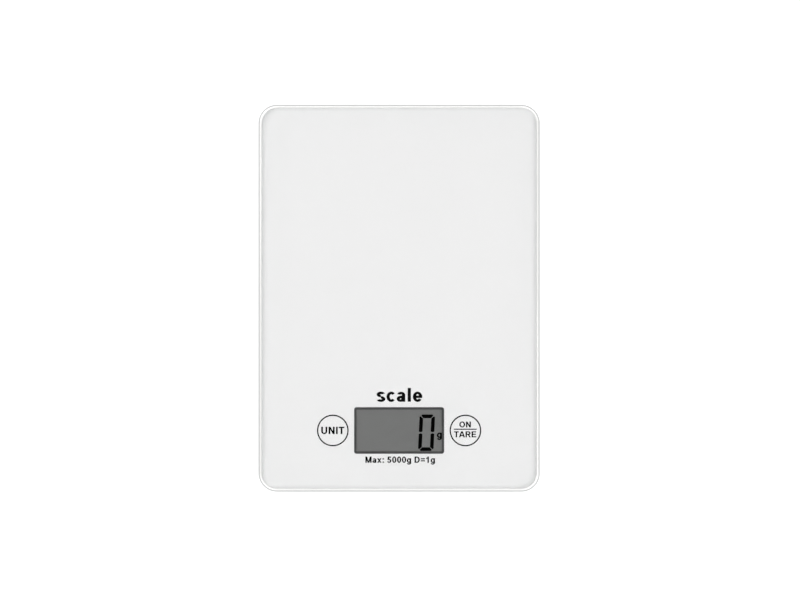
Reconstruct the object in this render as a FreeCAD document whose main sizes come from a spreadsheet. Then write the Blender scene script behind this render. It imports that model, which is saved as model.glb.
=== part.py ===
import FreeCAD, Part
import math
import os
import re
import Sketcher

# A flat kitchen scale: a glass platform on a two-part plastic housing that stands on four load cells.
# Frame: +X to the right, +Y to the back, away from the display, +Z up. The origin is on the table,
# under the middle of the glass. All lengths are in millimetres.

Vector = FreeCAD.Vector

doc = FreeCAD.newDocument("kitchen_scale")

# ---------------------------------------------------------------- sizes

SIZES = {
    # glass platform and its back print
    "glass_width": 160.0,
    "glass_length": 220.0,
    "glass_thickness": 4.0,
    "glass_corner": 10.5,
    "rim_run": 4.0,
    "rim_drop": 1.0,
    "arris": 0.4,
    "print_inset": 2.0,
    "print_thickness": 0.1,
    "tape_thickness": 0.3,
    "tape_inset": 6.0,
    "tape_breadth": 8.0,
    # housing
    "overall_height": 20.0,
    "housing_inset": 2.5,
    "ground_gap": 1.8,
    "wall": 1.6,
    "floor_thickness": 1.6,
    "plate_thickness": 1.6,
    "bottom_round": 3.0,
    "lip_depth": 2.0,
    "lip_thickness": 1.4,
    "lip_gap": 0.25,
    "rib_thickness": 1.2,
    "rib_depth": 2.4,
    "rib_end_gap": 8.0,
    "rib_behind_bay": 14.3,
    "rib_behind_board": 8.1,
    "floor_rib_inset": 4.0,
    "root": 0.1,
    # screws that hold the housing together
    "well_setback": 11.5,
    "well_from_foot": 38.0,
    "end_well_setback": 7.5,
    "well_radius": 4.2,
    "well_bore_radius": 2.9,
    "well_height": 3.6,
    "web_thickness": 1.8,
    "screw_hole_radius": 1.4,
    "post_radius": 3.0,
    "shell_screw_radius": 1.1,
    "shell_screw_head_radius": 2.4,
    "shell_screw_head_height": 1.5,
    "shell_screw_grip": 5.0,
    "shell_screw_tip_gap": 0.4,
    "slot_half_width": 0.25,
    # display
    "display_setback": 34.8,
    "window_width": 51.2,
    "window_height": 26.5,
    "window_corner": 1.4,
    "lcd_width": 58.0,
    "lcd_height": 34.0,
    "lcd_ledge": 3.5,
    "lcd_clearance": 0.1,
    "lcd_glass": 1.1,
    "film": 0.2,
    "lcd_gap": 0.3,
    "holder_wall": 1.5,
    "fit_gap": 0.3,
    "zebra_breadth": 2.0,
    "zebra_end_gap": 2.0,
    # touch keys
    "key_x": 37.9,
    "key_hole_radius": 5.6,
    "touch_spring_radius": 4.6,
    "touch_spring_top_radius": 4.0,
    "touch_wire_radius": 0.3,
    "touch_spring_gap": 0.2,
    # main board
    "board_width": 104.0,
    "board_height": 37.0,
    "board_thickness": 1.0,
    "board_corner": 1.0,
    "board_drop": 3.0,
    "board_screw_x": 48.5,
    "board_screw_y": 13.5,
    "board_boss_radius": 2.6,
    "board_screw_radius": 0.9,
    "board_screw_head_radius": 1.9,
    "board_screw_head_height": 1.2,
    "board_screw_grip": 2.4,
    "board_screw_tip_gap": 0.3,
    "board_hole_gap": 0.2,
    "blob_radius": 6.0,
    "blob_height": 1.4,
    "blob_round": 1.2,
    "resistor_half_length": 0.8,
    "resistor_half_width": 0.4,
    "resistor_height": 0.5,
    "resistor_x": 8.0,
    "resistor_pitch": 4.0,
    "resistor_row": 3.0,
    "capacitor_half_length": 1.0,
    "capacitor_half_width": 0.6,
    "capacitor_height": 1.1,
    "capacitor_x": 22.0,
    "capacitor_pitch": 3.4,
    "crystal_half_length": 3.0,
    "crystal_half_width": 1.2,
    "crystal_height": 1.5,
    "crystal_corner": 0.6,
    "crystal_x": 12.0,
    "crystal_y": 9.0,
    "joint_radius": 1.3,
    "joint_height": 0.6,
    "joint_y": 15.0,
    "front_joint_x": 40.0,
    "back_joint_x": 33.0,
    "battery_joint_x": 16.0,
    "battery_joint_gap": 5.0,
    # load cells and feet
    "foot_setback": 21.5,
    "foot_round": 0.5,
    "pad_radius": 8.5,
    "pad_thickness": 2.0,
    "pad_seat": 1.0,
    "cup_radius": 10.0,
    "cup_height": 3.4,
    "cup_gap": 1.0,
    "stud_radius": 3.0,
    "neck_radius": 2.0,
    "neck_gap": 0.1,
    "stud_head_radius": 2.6,
    "stud_head_height": 0.9,
    "stud_gap": 0.2,
    "cell_width": 30.0,
    "cell_length": 28.0,
    "cell_thickness": 1.4,
    "cell_rise": 3.1,
    "cell_corner": 2.0,
    "cell_side_gap": 0.2,
    "tongue_width": 10.0,
    "slot": 2.5,
    "cell_end": 5.0,
    "rail_breadth": 3.4,
    "carrier_wall": 1.8,
    "carrier_wall_height": 2.1,
    "carrier_floor": 1.2,
    "carrier_end": 1.6,
    "carrier_hole_gap": 0.3,
    "hook_gap": 0.1,
    "hook_reach": 0.8,
    "hook_length": 6.0,
    "seal_radius": 3.2,
    "seal_height": 1.1,
    "seal_round": 0.77,
    "seal_inset": 1.5,
    # battery bay
    "bay_y": 18.0,
    "battery_end_room": 2.75,
    "bay_breadth": 27.0,
    "bay_wall": 1.6,
    "bay_roof": 1.1,
    "battery_radius": 5.25,
    "battery_length": 44.5,
    "battery_spacing": 10.8,
    "battery_floor_gap": 0.3,
    "battery_roof_gap": 0.3,
    "cradle_gap": 0.15,
    "cradle_drop": 1.0,
    "nub_radius": 1.9,
    "nub_length": 0.9,
    "contact_thickness": 0.4,
    "contact_width": 8.4,
    "contact_height": 8.0,
    "contact_gap": 0.25,
    "tag_width": 4.0,
    "tag_reach": 2.4,
    "tag_rise": 2.0,
    "tag_slot_gap": 0.2,
    "cone_wire_radius": 0.3,
    "cone_radius": 3.6,
    "cone_top_radius": 2.4,
    # battery door
    "door_thickness": 1.4,
    "door_ledge": 1.2,
    "door_gap": 0.3,
    "door_ear_setback": 2.6,
    "hinge_rise": 1.8,
    "hinge_pin_radius": 0.8,
    "hinge_pin_clearance": 0.05,
    "hinge_pin_length": 1.3,
    "latch_width": 10.0,
    "latch_thickness": 1.0,
    "latch_height": 3.6,
    "latch_gap": 0.6,
    "nib": 0.2,
    "nib_height": 0.7,
    "nib_drop": 0.3,
    "catch": 0.1,
    "catch_height": 0.6,
    "catch_drop": 2.0,
    "thumb_radius": 6.0,
    "thumb_depth": 0.6,
    # leads
    "lead_radius": 0.9,
    "battery_lead_radius": 0.65,
    "lead_rest_gap": 0.05,
    "lead_rib_gap": 0.1,
    "joint_sink": 0.4,
}

# Places that follow from the sizes.
PLACES = {
    "glass_bottom": "overall_height - glass_thickness",
    "print_bottom": "glass_bottom - print_thickness",
    "frame_top": "print_bottom - tape_thickness",
    "frame_bottom": "frame_top - plate_thickness",
    "shell_bottom": "ground_gap",
    "floor_top": "shell_bottom + floor_thickness",
    "half_width": "glass_width / 2 - housing_inset",
    "half_length": "glass_length / 2 - housing_inset",
    "housing_corner": "glass_corner - housing_inset",
    "inner_half_width": "half_width - wall",
    "inner_half_length": "half_length - wall",
    "inner_corner": "housing_corner - wall",
    "foot_x": "half_width - foot_setback",
    "foot_y": "half_length - foot_setback",
    "well_x": "half_width - well_setback",
    "well_y": "foot_y - well_from_foot",
    "end_well_y": "half_length - end_well_setback",
    "display_y": "display_setback - glass_length / 2",
    "well_top": "floor_top + well_height",
    "web_bottom": "well_top - web_thickness",
    "post_bore_top": "well_top + shell_screw_grip + shell_screw_tip_gap",
    # display stack, from the front polariser down
    "lcd_top": "print_bottom - lcd_gap",
    "front_glass_top": "lcd_top - film",
    "front_glass_bottom": "front_glass_top - lcd_glass",
    "rear_glass_bottom": "front_glass_bottom - lcd_glass",
    "lcd_bottom": "rear_glass_bottom - film",
    "board_top": "print_bottom - board_drop",
    "board_bottom": "board_top - board_thickness",
    "board_high_y": "display_y + board_height / 2",
    "joint_end_z": "board_bottom - joint_height - joint_sink",
    "lcd_low_y": "display_y - lcd_height / 2",
    "lcd_high_y": "display_y + lcd_height / 2",
    "rear_low_y": "lcd_low_y + lcd_ledge",
    "zebra_half": "lcd_width / 2 - zebra_end_gap",
    "zebra_low_y": "lcd_low_y + (lcd_ledge - zebra_breadth) / 2",
    # feet and load cells
    "cup_bottom": "pad_thickness - pad_seat",
    "cup_top": "cup_bottom + cup_height",
    "cell_bottom": "floor_top + cell_rise",
    "cell_top": "cell_bottom + cell_thickness",
    "foot_hole_radius": "cup_radius + cup_gap",
    "carrier_half_width": "cell_width / 2 + carrier_wall + cell_side_gap",
    "carrier_half_length": "cell_length / 2 + carrier_end",
    "seal_y": "cell_length / 2 - cell_end - seal_inset",
    "hook_bottom": "cell_top + hook_gap",
    "stud_head_bottom": "cell_top + stud_gap",
    # battery bay and its door
    "door_top": "shell_bottom + door_thickness",
    "battery_axis": "door_top + battery_floor_gap + battery_radius",
    "roof_bottom": "battery_axis + battery_radius + battery_roof_gap",
    "roof_top": "roof_bottom + bay_roof",
    "bay_x": "battery_length / 2 + battery_end_room",
    "bay_low_y": "bay_y - bay_breadth / 2",
    "bay_high_y": "bay_y + bay_breadth / 2",
    "bay_outer_x": "bay_x + bay_wall",
    "back_rib_y": "bay_high_y + bay_wall + rib_behind_bay",
    "front_rib_y": "board_high_y + rib_behind_board",
    "door_low_y": "bay_low_y - door_ledge",
    "latch_low_y": "bay_low_y + latch_gap",
    "latch_top": "door_top + latch_height",
    "hinge_z": "shell_bottom + hinge_rise",
    "hinge_y": "bay_high_y - hinge_rise - door_gap",
    "contact_x": "bay_x - contact_gap - contact_thickness",
    "tag_bottom": "battery_axis + tag_rise",
    "battery_low_y": "bay_y - battery_spacing / 2",
    "battery_high_y": "bay_y + battery_spacing / 2",
    "battery_shift": "contact_x - battery_length / 2",
    "cone_height": "2 * battery_shift - 2 * cone_wire_radius",
}

sheet = doc.addObject("Spreadsheet::Sheet", "Sizes")
for row, (alias, size) in enumerate(SIZES.items(), start=1):
    sheet.set(f"A{row}", alias)
    sheet.set(f"B{row}", str(size))
    sheet.setAlias(f"B{row}", alias)
doc.recompute()


def bound(expression):
    """The expression with every size and place written by its full name in the document."""
    def full_name(match):
        word = match.group(0)
        if word in SIZES:
            return "Sizes." + word
        if word in PLACES:
            return "Places." + word
        raise NameError(f"no size or place is called {word}")
    return re.sub(r"[A-Za-z_][A-Za-z_0-9]*", full_name, str(expression))


places = doc.addObject("App::VarSet", "Places")
for place in PLACES:
    places.addProperty("App::PropertyFloat", place)
for place, expression in PLACES.items():
    places.setExpression(place, bound(expression))
doc.recompute()


def value(expression):
    """The expression's value now, in millimetres."""
    return float(sheet.evalExpression(bound(expression)))


# ---------------------------------------------------------------- sketches

# the sketch origin, as constraints name it
ORIGIN_POINT = (-1, 1)


def hold(sketch, kind, geometry, point, expression):
    """Holds a point of the geometry at a distance from the sketch's origin."""
    constraint = Sketcher.Constraint(kind, *ORIGIN_POINT, geometry, point, value(expression))
    index = sketch.addConstraint(constraint)
    sketch.setExpression(f"Constraints[{index}]", bound(expression))


def hold_radius(sketch, geometry, expression):
    """Holds the radius of a circle or an arc."""
    index = sketch.addConstraint(Sketcher.Constraint("Radius", geometry, value(expression)))
    sketch.setExpression(f"Constraints[{index}]", bound(expression))


def circle(sketch, x, y, radius):
    centre = Vector(value(x), value(y), 0)
    ring = sketch.addGeometry(Part.Circle(centre, Vector(0, 0, 1), value(radius)))
    hold(sketch, "DistanceX", ring, 3, x)
    hold(sketch, "DistanceY", ring, 3, y)
    hold_radius(sketch, ring, radius)


def polygon(sketch, points):
    """A closed outline of straight lines through points given as pairs of expressions."""
    corners = [Vector(value(x), value(y), 0) for x, y in points]
    count = len(corners)
    lines = [
        sketch.addGeometry(Part.LineSegment(corners[i], corners[(i + 1) % count]))
        for i in range(count)
    ]
    for i in range(count):
        sketch.addConstraint(Sketcher.Constraint("Coincident", lines[i], 2, lines[(i + 1) % count], 1))
    for line, (x, y) in zip(lines, points):
        hold(sketch, "DistanceX", line, 1, x)
        hold(sketch, "DistanceY", line, 1, y)


def rectangle(sketch, left, right, low, high):
    polygon(sketch, [(left, low), (right, low), (right, high), (left, high)])


def rounded_rectangle(sketch, left, right, low, high, radius):
    """Four lines and four tangent arcs."""
    x0, x1, y0, y1, r = (value(part) for part in (left, right, low, high, radius))
    bottom = sketch.addGeometry(Part.LineSegment(Vector(x0 + r, y0, 0), Vector(x1 - r, y0, 0)))
    right_side = sketch.addGeometry(Part.LineSegment(Vector(x1, y0 + r, 0), Vector(x1, y1 - r, 0)))
    top = sketch.addGeometry(Part.LineSegment(Vector(x1 - r, y1, 0), Vector(x0 + r, y1, 0)))
    left_side = sketch.addGeometry(Part.LineSegment(Vector(x0, y1 - r, 0), Vector(x0, y0 + r, 0)))
    sides = [bottom, right_side, top, left_side]
    centres = [(x1 - r, y0 + r), (x1 - r, y1 - r), (x0 + r, y1 - r), (x0 + r, y0 + r)]
    arcs = []
    for quarter, (x, y) in enumerate(centres):
        start = (quarter - 1) * math.pi / 2
        ring = Part.Circle(Vector(x, y, 0), Vector(0, 0, 1), r)
        arcs.append(sketch.addGeometry(Part.ArcOfCircle(ring, start, start + math.pi / 2)))
    for i in range(4):
        sketch.addConstraint(Sketcher.Constraint("Tangent", sides[i], 2, arcs[i], 1))
        sketch.addConstraint(Sketcher.Constraint("Tangent", arcs[i], 2, sides[(i + 1) % 4], 1))
    for line in (bottom, top):
        sketch.addConstraint(Sketcher.Constraint("Horizontal", line))
    for line in (right_side, left_side):
        sketch.addConstraint(Sketcher.Constraint("Vertical", line))
    for arc in arcs[1:]:
        sketch.addConstraint(Sketcher.Constraint("Equal", arcs[0], arc))
    hold_radius(sketch, arcs[0], radius)
    hold(sketch, "DistanceX", left_side, 1, left)
    hold(sketch, "DistanceX", right_side, 1, right)
    hold(sketch, "DistanceY", bottom, 1, low)
    hold(sketch, "DistanceY", top, 1, high)


def centred(sketch, half_x, half_y, radius):
    """A rounded rectangle about the middle of the scale."""
    rounded_rectangle(sketch, f"-({half_x})", half_x, f"-({half_y})", half_y, radius)


# ---------------------------------------------------------------- bodies and features

def new_body(label):
    body = doc.addObject("PartDesign::Body", label)
    body.Label = label
    return body


def new_sketch(body, level, role="XY_Plane"):
    """A sketch on one of the body's own origin planes, raised to the level."""
    sketch = body.newObject("Sketcher::SketchObject", f"{body.Label}_outline")
    plane = next(item for item in body.Origin.OriginFeatures if item.Role == role)
    sketch.AttachmentSupport = [(plane, "")]
    sketch.MapMode = "FlatFace"
    sketch.setExpression("AttachmentOffset.Base.z", bound(level))
    return sketch


def volume(body):
    return body.Shape.Volume if body.Tip else 0.0


def add(body, bottom, top, draw, *sizes):
    """Adds the outline's prism from the bottom level to the top level."""
    before = volume(body)
    sketch = new_sketch(body, bottom)
    draw(sketch, *sizes)
    pad = body.newObject("PartDesign::Pad", f"{body.Label}_pad")
    pad.Profile = sketch
    pad.setExpression("Length", bound(f"({top}) - ({bottom})"))
    doc.recompute()
    if volume(body) <= before:
        raise ValueError(f"{pad.Name} adds nothing to {body.Label}")


def cut(body, bottom, top, draw, *sizes):
    """Takes the outline's prism away from the bottom level to the top level."""
    before = volume(body)
    sketch = new_sketch(body, bottom)
    draw(sketch, *sizes)
    pocket = body.newObject("PartDesign::Pocket", f"{body.Label}_pocket")
    pocket.Profile = sketch
    pocket.Reversed = True
    pocket.setExpression("Length", bound(f"({top}) - ({bottom})"))
    doc.recompute()
    if volume(body) >= before:
        raise ValueError(f"{pocket.Name} cuts nothing from {body.Label}")


def edges_at(body, level):
    """The names of the body's edges that lie wholly at the level."""
    height = value(level)
    names = []
    for number, edge in enumerate(body.Shape.Edges, start=1):
        box = edge.BoundBox
        if abs(box.ZMin - height) < 1e-3 and abs(box.ZMax - height) < 1e-3:
            names.append(f"Edge{number}")
    return names


def fillet(body, names, radius):
    base = body.Tip
    rounding = body.newObject("PartDesign::Fillet", f"{body.Label}_fillet")
    rounding.Base = (base, names)
    rounding.setExpression("Radius", bound(radius))
    doc.recompute()


def chamfer(body, names, first, second):
    base = body.Tip
    bevel = body.newObject("PartDesign::Chamfer", f"{body.Label}_chamfer")
    bevel.Base = (base, names)
    bevel.ChamferType = "Two distances"
    bevel.setExpression("Size", bound(first))
    bevel.setExpression("Size2", bound(second))
    doc.recompute()


def circles(sketch, places, radius):
    for x, y in places:
        circle(sketch, x, y, radius)


SIDES = (-1, 1)
TOUCH_SPRING_TURNS = 3.5
BATTERY_SPRING_TURNS = 4.5
WELLS = [(f"{i} * well_x", f"{j} * well_y") for i in SIDES for j in SIDES]
WELLS += [("0", f"{j} * end_well_y") for j in SIDES]
FEET = [(f"{i} * foot_x", f"{j} * foot_y") for i in SIDES for j in SIDES]
BOARD_SCREWS = [(f"{i} * board_screw_x", f"display_y + {j} * board_screw_y") for i in SIDES for j in SIDES]
KEYS = [(f"{i} * key_x", "display_y") for i in SIDES]


# ---------------------------------------------------------------- glass, print and tape

def make_glass():
    body = new_body("glass_platform")
    add(body, "glass_bottom", "overall_height", centred, "glass_width / 2", "glass_length / 2",
        "glass_corner")
    chamfer(body, edges_at(body, "overall_height"), "rim_drop", "rim_run")
    fillet(body, edges_at(body, "glass_bottom"), "arris")


def make_print():
    body = new_body("back_print")
    add(body, "print_bottom", "glass_bottom", centred, "glass_width / 2 - print_inset",
        "glass_length / 2 - print_inset", "glass_corner - print_inset")
    cut(body, "print_bottom", "glass_bottom", rounded_rectangle, "-window_width / 2", "window_width / 2",
        "display_y - window_height / 2", "display_y + window_height / 2", "window_corner")


def make_tape():
    body = new_body("bonding_tape")
    add(body, "frame_top", "print_bottom", centred, "glass_width / 2 - tape_inset",
        "glass_length / 2 - tape_inset", "glass_corner - tape_inset")
    cut(body, "frame_top", "print_bottom", centred, "glass_width / 2 - tape_inset - tape_breadth",
        "glass_length / 2 - tape_inset - tape_breadth", "glass_corner - tape_inset")


# ---------------------------------------------------------------- housing

def frame_ribs(sketch):
    """Two ribs across the frame, one behind the battery bay and one behind the main board."""
    reach = "inner_half_width - rib_end_gap"
    for low in ("back_rib_y", "front_rib_y"):
        rectangle(sketch, f"-({reach})", reach, low, f"{low} + rib_thickness")


def make_frame():
    body = new_body("carrier_frame")
    add(body, "frame_bottom", "frame_top", centred, "half_width", "half_length", "housing_corner")
    add(body, "frame_bottom - lip_depth", "frame_bottom", centred, "inner_half_width - lip_gap",
        "inner_half_length - lip_gap", "inner_corner - lip_gap")
    cut(body, "frame_bottom - lip_depth", "frame_bottom", centred,
        "inner_half_width - lip_gap - lip_thickness", "inner_half_length - lip_gap - lip_thickness",
        "inner_corner - lip_gap - lip_thickness")
    add(body, "frame_bottom - rib_depth", "frame_bottom", frame_ribs)
    add(body, "well_top", "frame_bottom", circles, WELLS, "post_radius")
    cut(body, "well_top", "post_bore_top", circles, WELLS, "shell_screw_radius")
    add(body, "board_top", "frame_bottom", circles, BOARD_SCREWS, "board_boss_radius")
    cut(body, "board_top", "board_top + board_screw_grip", circles, BOARD_SCREWS, "board_screw_radius")
    cut(body, "frame_bottom", "frame_top", rectangle, "-lcd_width / 2 - holder_wall - fit_gap",
        "lcd_width / 2 + holder_wall + fit_gap", "lcd_low_y - holder_wall - fit_gap",
        "lcd_high_y + holder_wall + fit_gap")
    cut(body, "frame_bottom", "frame_top", circles, KEYS, "key_hole_radius")
    cut(body, "frame_bottom", "frame_top", rectangle, "-bay_outer_x - fit_gap", "bay_outer_x + fit_gap",
        "bay_low_y - bay_wall - fit_gap", "bay_high_y + bay_wall + fit_gap")


def shell_ribs(sketch):
    """Ribs on the shell's floor, from the side walls to the battery bay."""
    for side in SIDES:
        edges = sorted((f"{side} * bay_outer_x", f"{side} * inner_half_width"), key=value)
        for y in ("bay_low_y + floor_rib_inset", "bay_high_y - floor_rib_inset"):
            rectangle(sketch, *edges, f"{y} - rib_thickness / 2", f"{y} + rib_thickness / 2")


def cradle_ribs(sketch):
    """Ribs that keep the two battery cells off the long walls of the bay."""
    for x in ("-bay_x / 2", "bay_x / 2"):
        span = (f"{x} - rib_thickness / 2", f"{x} + rib_thickness / 2")
        rectangle(sketch, *span, "bay_low_y - root", "battery_low_y - battery_radius - cradle_gap")
        rectangle(sketch, *span, "battery_high_y + battery_radius + cradle_gap", "bay_high_y + root")


def tag_slots(sketch):
    """Slots in the left end wall for the solder tags, one for each cell."""
    for y in ("battery_low_y", "battery_high_y"):
        rectangle(sketch, "-bay_outer_x - root", "-bay_x + root", f"{y} - tag_width / 2 - tag_slot_gap",
                  f"{y} + tag_width / 2 + tag_slot_gap")


def hinge_bore(body):
    """The bore through both end walls for the door's pins."""
    before = volume(body)
    sketch = new_sketch(body, "-bay_outer_x", "YZ_Plane")
    circle(sketch, "hinge_y", "hinge_z", "hinge_pin_radius + hinge_pin_clearance")
    bore = body.newObject("PartDesign::Pocket", "hinge_bore")
    bore.Profile = sketch
    bore.Reversed = True
    bore.setExpression("Length", bound("2 * bay_outer_x"))
    doc.recompute()
    if volume(body) >= before:
        raise ValueError("the hinge bore cuts nothing")


def make_shell():
    body = new_body("base_shell")
    add(body, "shell_bottom", "frame_bottom", centred, "half_width", "half_length", "housing_corner")
    fillet(body, edges_at(body, "shell_bottom"), "bottom_round")
    cut(body, "floor_top", "frame_bottom", centred, "inner_half_width", "inner_half_length", "inner_corner")
    add(body, "floor_top", "roof_top", rectangle, "-bay_outer_x", "bay_outer_x", "bay_low_y - bay_wall",
        "bay_high_y + bay_wall")
    add(body, "floor_top", "floor_top + rib_depth", shell_ribs)
    cut(body, "shell_bottom", "roof_bottom", rectangle, "-bay_x", "bay_x", "bay_low_y", "bay_high_y")
    cut(body, "shell_bottom", "floor_top", rectangle, "-bay_x - door_ledge", "bay_x + door_ledge",
        "door_low_y", "hinge_y - hinge_rise + door_gap")
    add(body, "battery_axis - cradle_drop", "roof_bottom", cradle_ribs)
    add(body, "latch_top - catch_drop", "latch_top - catch_drop + catch_height", rectangle,
        "-latch_width / 2", "latch_width / 2", "bay_low_y - root", "bay_low_y + catch")
    cut(body, "tag_bottom - tag_slot_gap", "tag_bottom + contact_thickness + tag_slot_gap", tag_slots)
    hinge_bore(body)
    add(body, "floor_top", "well_top", circles, WELLS, "well_radius")
    cut(body, "shell_bottom", "web_bottom", circles, WELLS, "well_bore_radius")
    cut(body, "web_bottom", "well_top", circles, WELLS, "screw_hole_radius")
    cut(body, "shell_bottom", "floor_top", circles, FEET, "foot_hole_radius")
    cut(body, "shell_bottom", "shell_bottom + thumb_depth", circle, "0", "door_low_y", "thumb_radius")


# ---------------------------------------------------------------- display

def lcd_sheet(sketch, low, high):
    rectangle(sketch, "-lcd_width / 2", "lcd_width / 2", low, high)


def make_display():
    """Two glass sheets between a front polariser and a rear reflector. The front sheet overhangs
    the rear one by a ledge that carries the contact tracks. The layers touch, as bonded ones do."""
    layers = {
        "lcd_polariser": ("front_glass_top", "lcd_top", "lcd_low_y + lcd_ledge"),
        "lcd_front_glass": ("front_glass_bottom", "front_glass_top", "lcd_low_y"),
        "lcd_rear_glass": ("rear_glass_bottom", "front_glass_bottom", "rear_low_y"),
        "lcd_reflector": ("lcd_bottom", "rear_glass_bottom", "rear_low_y"),
    }
    for label, (bottom, top, low) in layers.items():
        add(new_body(label), bottom, top, lcd_sheet, low, "lcd_high_y")

    holder = new_body("lcd_holder")
    sides = ("-lcd_width / 2 - lcd_clearance", "lcd_width / 2 + lcd_clearance")
    add(holder, "board_top", "front_glass_top", rectangle, "-lcd_width / 2 - holder_wall",
        "lcd_width / 2 + holder_wall", "lcd_low_y - holder_wall", "lcd_high_y + holder_wall")
    cut(holder, "front_glass_bottom", "front_glass_top", rectangle, *sides, "lcd_low_y - lcd_clearance",
        "lcd_high_y + lcd_clearance")
    cut(holder, "board_top", "front_glass_bottom", rectangle, *sides, "rear_low_y - lcd_clearance",
        "lcd_high_y + lcd_clearance")
    cut(holder, "board_top", "front_glass_bottom", rectangle, "-zebra_half - lcd_clearance",
        "zebra_half + lcd_clearance", "zebra_low_y - lcd_clearance",
        "zebra_low_y + zebra_breadth + lcd_clearance")

    strip = new_body("zebra_strip")
    add(strip, "board_top", "front_glass_bottom", rectangle, "-zebra_half", "zebra_half", "zebra_low_y",
        "zebra_low_y + zebra_breadth")


# ---------------------------------------------------------------- main board

def chips(sketch, places, half_x, half_y):
    """Small rectangles, one about each place."""
    for x, y in places:
        rectangle(sketch, f"{x} - {half_x}", f"{x} + {half_x}", f"{y} - {half_y}", f"{y} + {half_y}")


RESISTORS = [
    (f"resistor_x + {column} * resistor_pitch", f"display_y + {row} * resistor_row")
    for column in range(4) for row in (-2, -1)
]
CAPACITORS = [("-capacitor_x", f"display_y + {row} * capacitor_pitch") for row in (-2, -1, 1, 2)]
JOINTS = [(f"{i} * {x}", "display_y + joint_y") for i in SIDES for x in ("front_joint_x", "back_joint_x")]
JOINTS += [(x, "display_y + joint_y") for x in ("-battery_joint_x", "-battery_joint_x + battery_joint_gap")]


def board_outline(sketch):
    rounded_rectangle(sketch, "-board_width / 2", "board_width / 2", "board_high_y - board_height",
                      "board_high_y", "board_corner")


def make_board():
    """The board carries its chip, small parts and solder joints on its underside."""
    board = new_body("main_board")
    add(board, "board_bottom", "board_top", board_outline)
    cut(board, "board_bottom", "board_top", circles, BOARD_SCREWS, "board_screw_radius + board_hole_gap")

    blob = new_body("chip_blob")
    add(blob, "board_bottom - blob_height", "board_bottom", circle, "0", "display_y", "blob_radius")
    fillet(blob, edges_at(blob, "board_bottom - blob_height"), "blob_round")

    resistors = new_body("chip_resistors")
    add(resistors, "board_bottom - resistor_height", "board_bottom", chips, RESISTORS,
        "resistor_half_length", "resistor_half_width")
    capacitors = new_body("chip_capacitors")
    add(capacitors, "board_bottom - capacitor_height", "board_bottom", chips, CAPACITORS,
        "capacitor_half_length", "capacitor_half_width")
    joints = new_body("solder_joints")
    add(joints, "board_bottom - joint_height", "board_bottom", circles, JOINTS, "joint_radius")

    crystal = new_body("crystal_can")
    add(crystal, "board_bottom - crystal_height", "board_bottom", rounded_rectangle,
        "-crystal_x - crystal_half_length", "-crystal_x + crystal_half_length",
        "display_y - crystal_y - crystal_half_width", "display_y - crystal_y + crystal_half_width",
        "crystal_corner")


# A screw head's rounding, the reach of its cross slot and the slot's depth, as shares of the head
HEAD_ROUND_SHARE = 0.35
SLOT_REACH_SHARE = 0.6
SLOT_DEPTH_SHARE = 0.5


def screw(body, places, head_bottom, head_height, head_radius, grip, radius):
    """Pan-head screws that point up. Each has a cross slot in its head."""
    add(body, head_bottom, f"{head_bottom} + {head_height}", circles, places, head_radius)
    add(body, f"{head_bottom} + {head_height}", grip, circles, places, radius)
    fillet(body, edges_at(body, head_bottom), f"{HEAD_ROUND_SHARE} * {head_height}")
    reach = f"{SLOT_REACH_SHARE} * {head_radius}"
    slot_top = f"{head_bottom} + {SLOT_DEPTH_SHARE} * {head_height}"
    for half_x, half_y in ((reach, "slot_half_width"), ("slot_half_width", reach)):
        cut(body, head_bottom, slot_top, chips, places, half_x, half_y)


def make_screws():
    screw(new_body("shell_screws"), WELLS, "web_bottom - shell_screw_head_height", "shell_screw_head_height",
          "shell_screw_head_radius", "well_top + shell_screw_grip", "shell_screw_radius")
    screw(new_body("board_screws"), BOARD_SCREWS, "board_bottom - board_screw_head_height",
          "board_screw_head_height", "board_screw_head_radius",
          "board_top + board_screw_grip - board_screw_tip_gap", "board_screw_radius")


# ---------------------------------------------------------------- round wires and springs

def round_wire(label, points, radius, trim_share=0.45):
    """A round wire along straight runs joined by tangent arcs. Returns it with its bend radii."""
    centres = [Vector(*point) for point in points]
    edges = []
    bends = []
    start = centres[0]
    for before, corner, after in zip(centres, centres[1:], centres[2:]):
        incoming = (corner - before).normalize()
        outgoing = (after - corner).normalize()
        half_turn = incoming.getAngle(outgoing) / 2
        trim = trim_share * min((corner - before).Length, (after - corner).Length)
        bend = trim / math.tan(half_turn)
        bends.append(bend)
        entry = corner - incoming * trim
        leave = corner + outgoing * trim
        inward = (outgoing - incoming).normalize()
        middle = corner + inward * (bend / math.cos(half_turn) - bend)
        edges.append(Part.LineSegment(start, entry).toShape())
        edges.append(Part.Arc(entry, middle, leave).toShape())
        start = leave
    edges.append(Part.LineSegment(start, centres[-1]).toShape())
    path = Part.Wire(edges)
    section = Part.Wire(Part.Circle(centres[0], centres[1] - centres[0], radius).toShape())
    tube = path.makePipeShell([section], True, False)
    expected = math.pi * radius**2 * path.Length
    if abs(tube.Volume - expected) > 0.01 * expected:
        raise ValueError(f"{label} has {tube.Volume:.1f} in place of {expected:.1f}")
    item = doc.addObject("Part::Feature", label)
    item.Label = label
    item.Shape = tube
    return bends


def coil(label, centre, axis, radii, climb, turns, wire):
    """A cone spring that starts at the centre's level and climbs along the axis, with its last
    half turn at each end flat."""
    steps_per_turn = 8
    flat_turns = 0.5
    steps = int(turns * steps_per_turn)
    origin = Vector(*(value(part) for part in centre))
    across = axis.cross(Vector(0, 1, 0)).normalize()
    upright = axis.cross(across)
    start_radius, end_radius = (value(radius) for radius in radii)
    points = []
    for step in range(steps + 1):
        turn = step / steps_per_turn
        share = min(max((turn - flat_turns) / (turns - 2 * flat_turns), 0.0), 1.0)
        radius = start_radius + (end_radius - start_radius) * turn / turns
        angle = 2 * math.pi * turn
        spoke = across * (radius * math.cos(angle)) + upright * (radius * math.sin(angle))
        points.append(origin + spoke + axis * (value(climb) * share))
    round_wire(label, points, value(wire))


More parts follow.
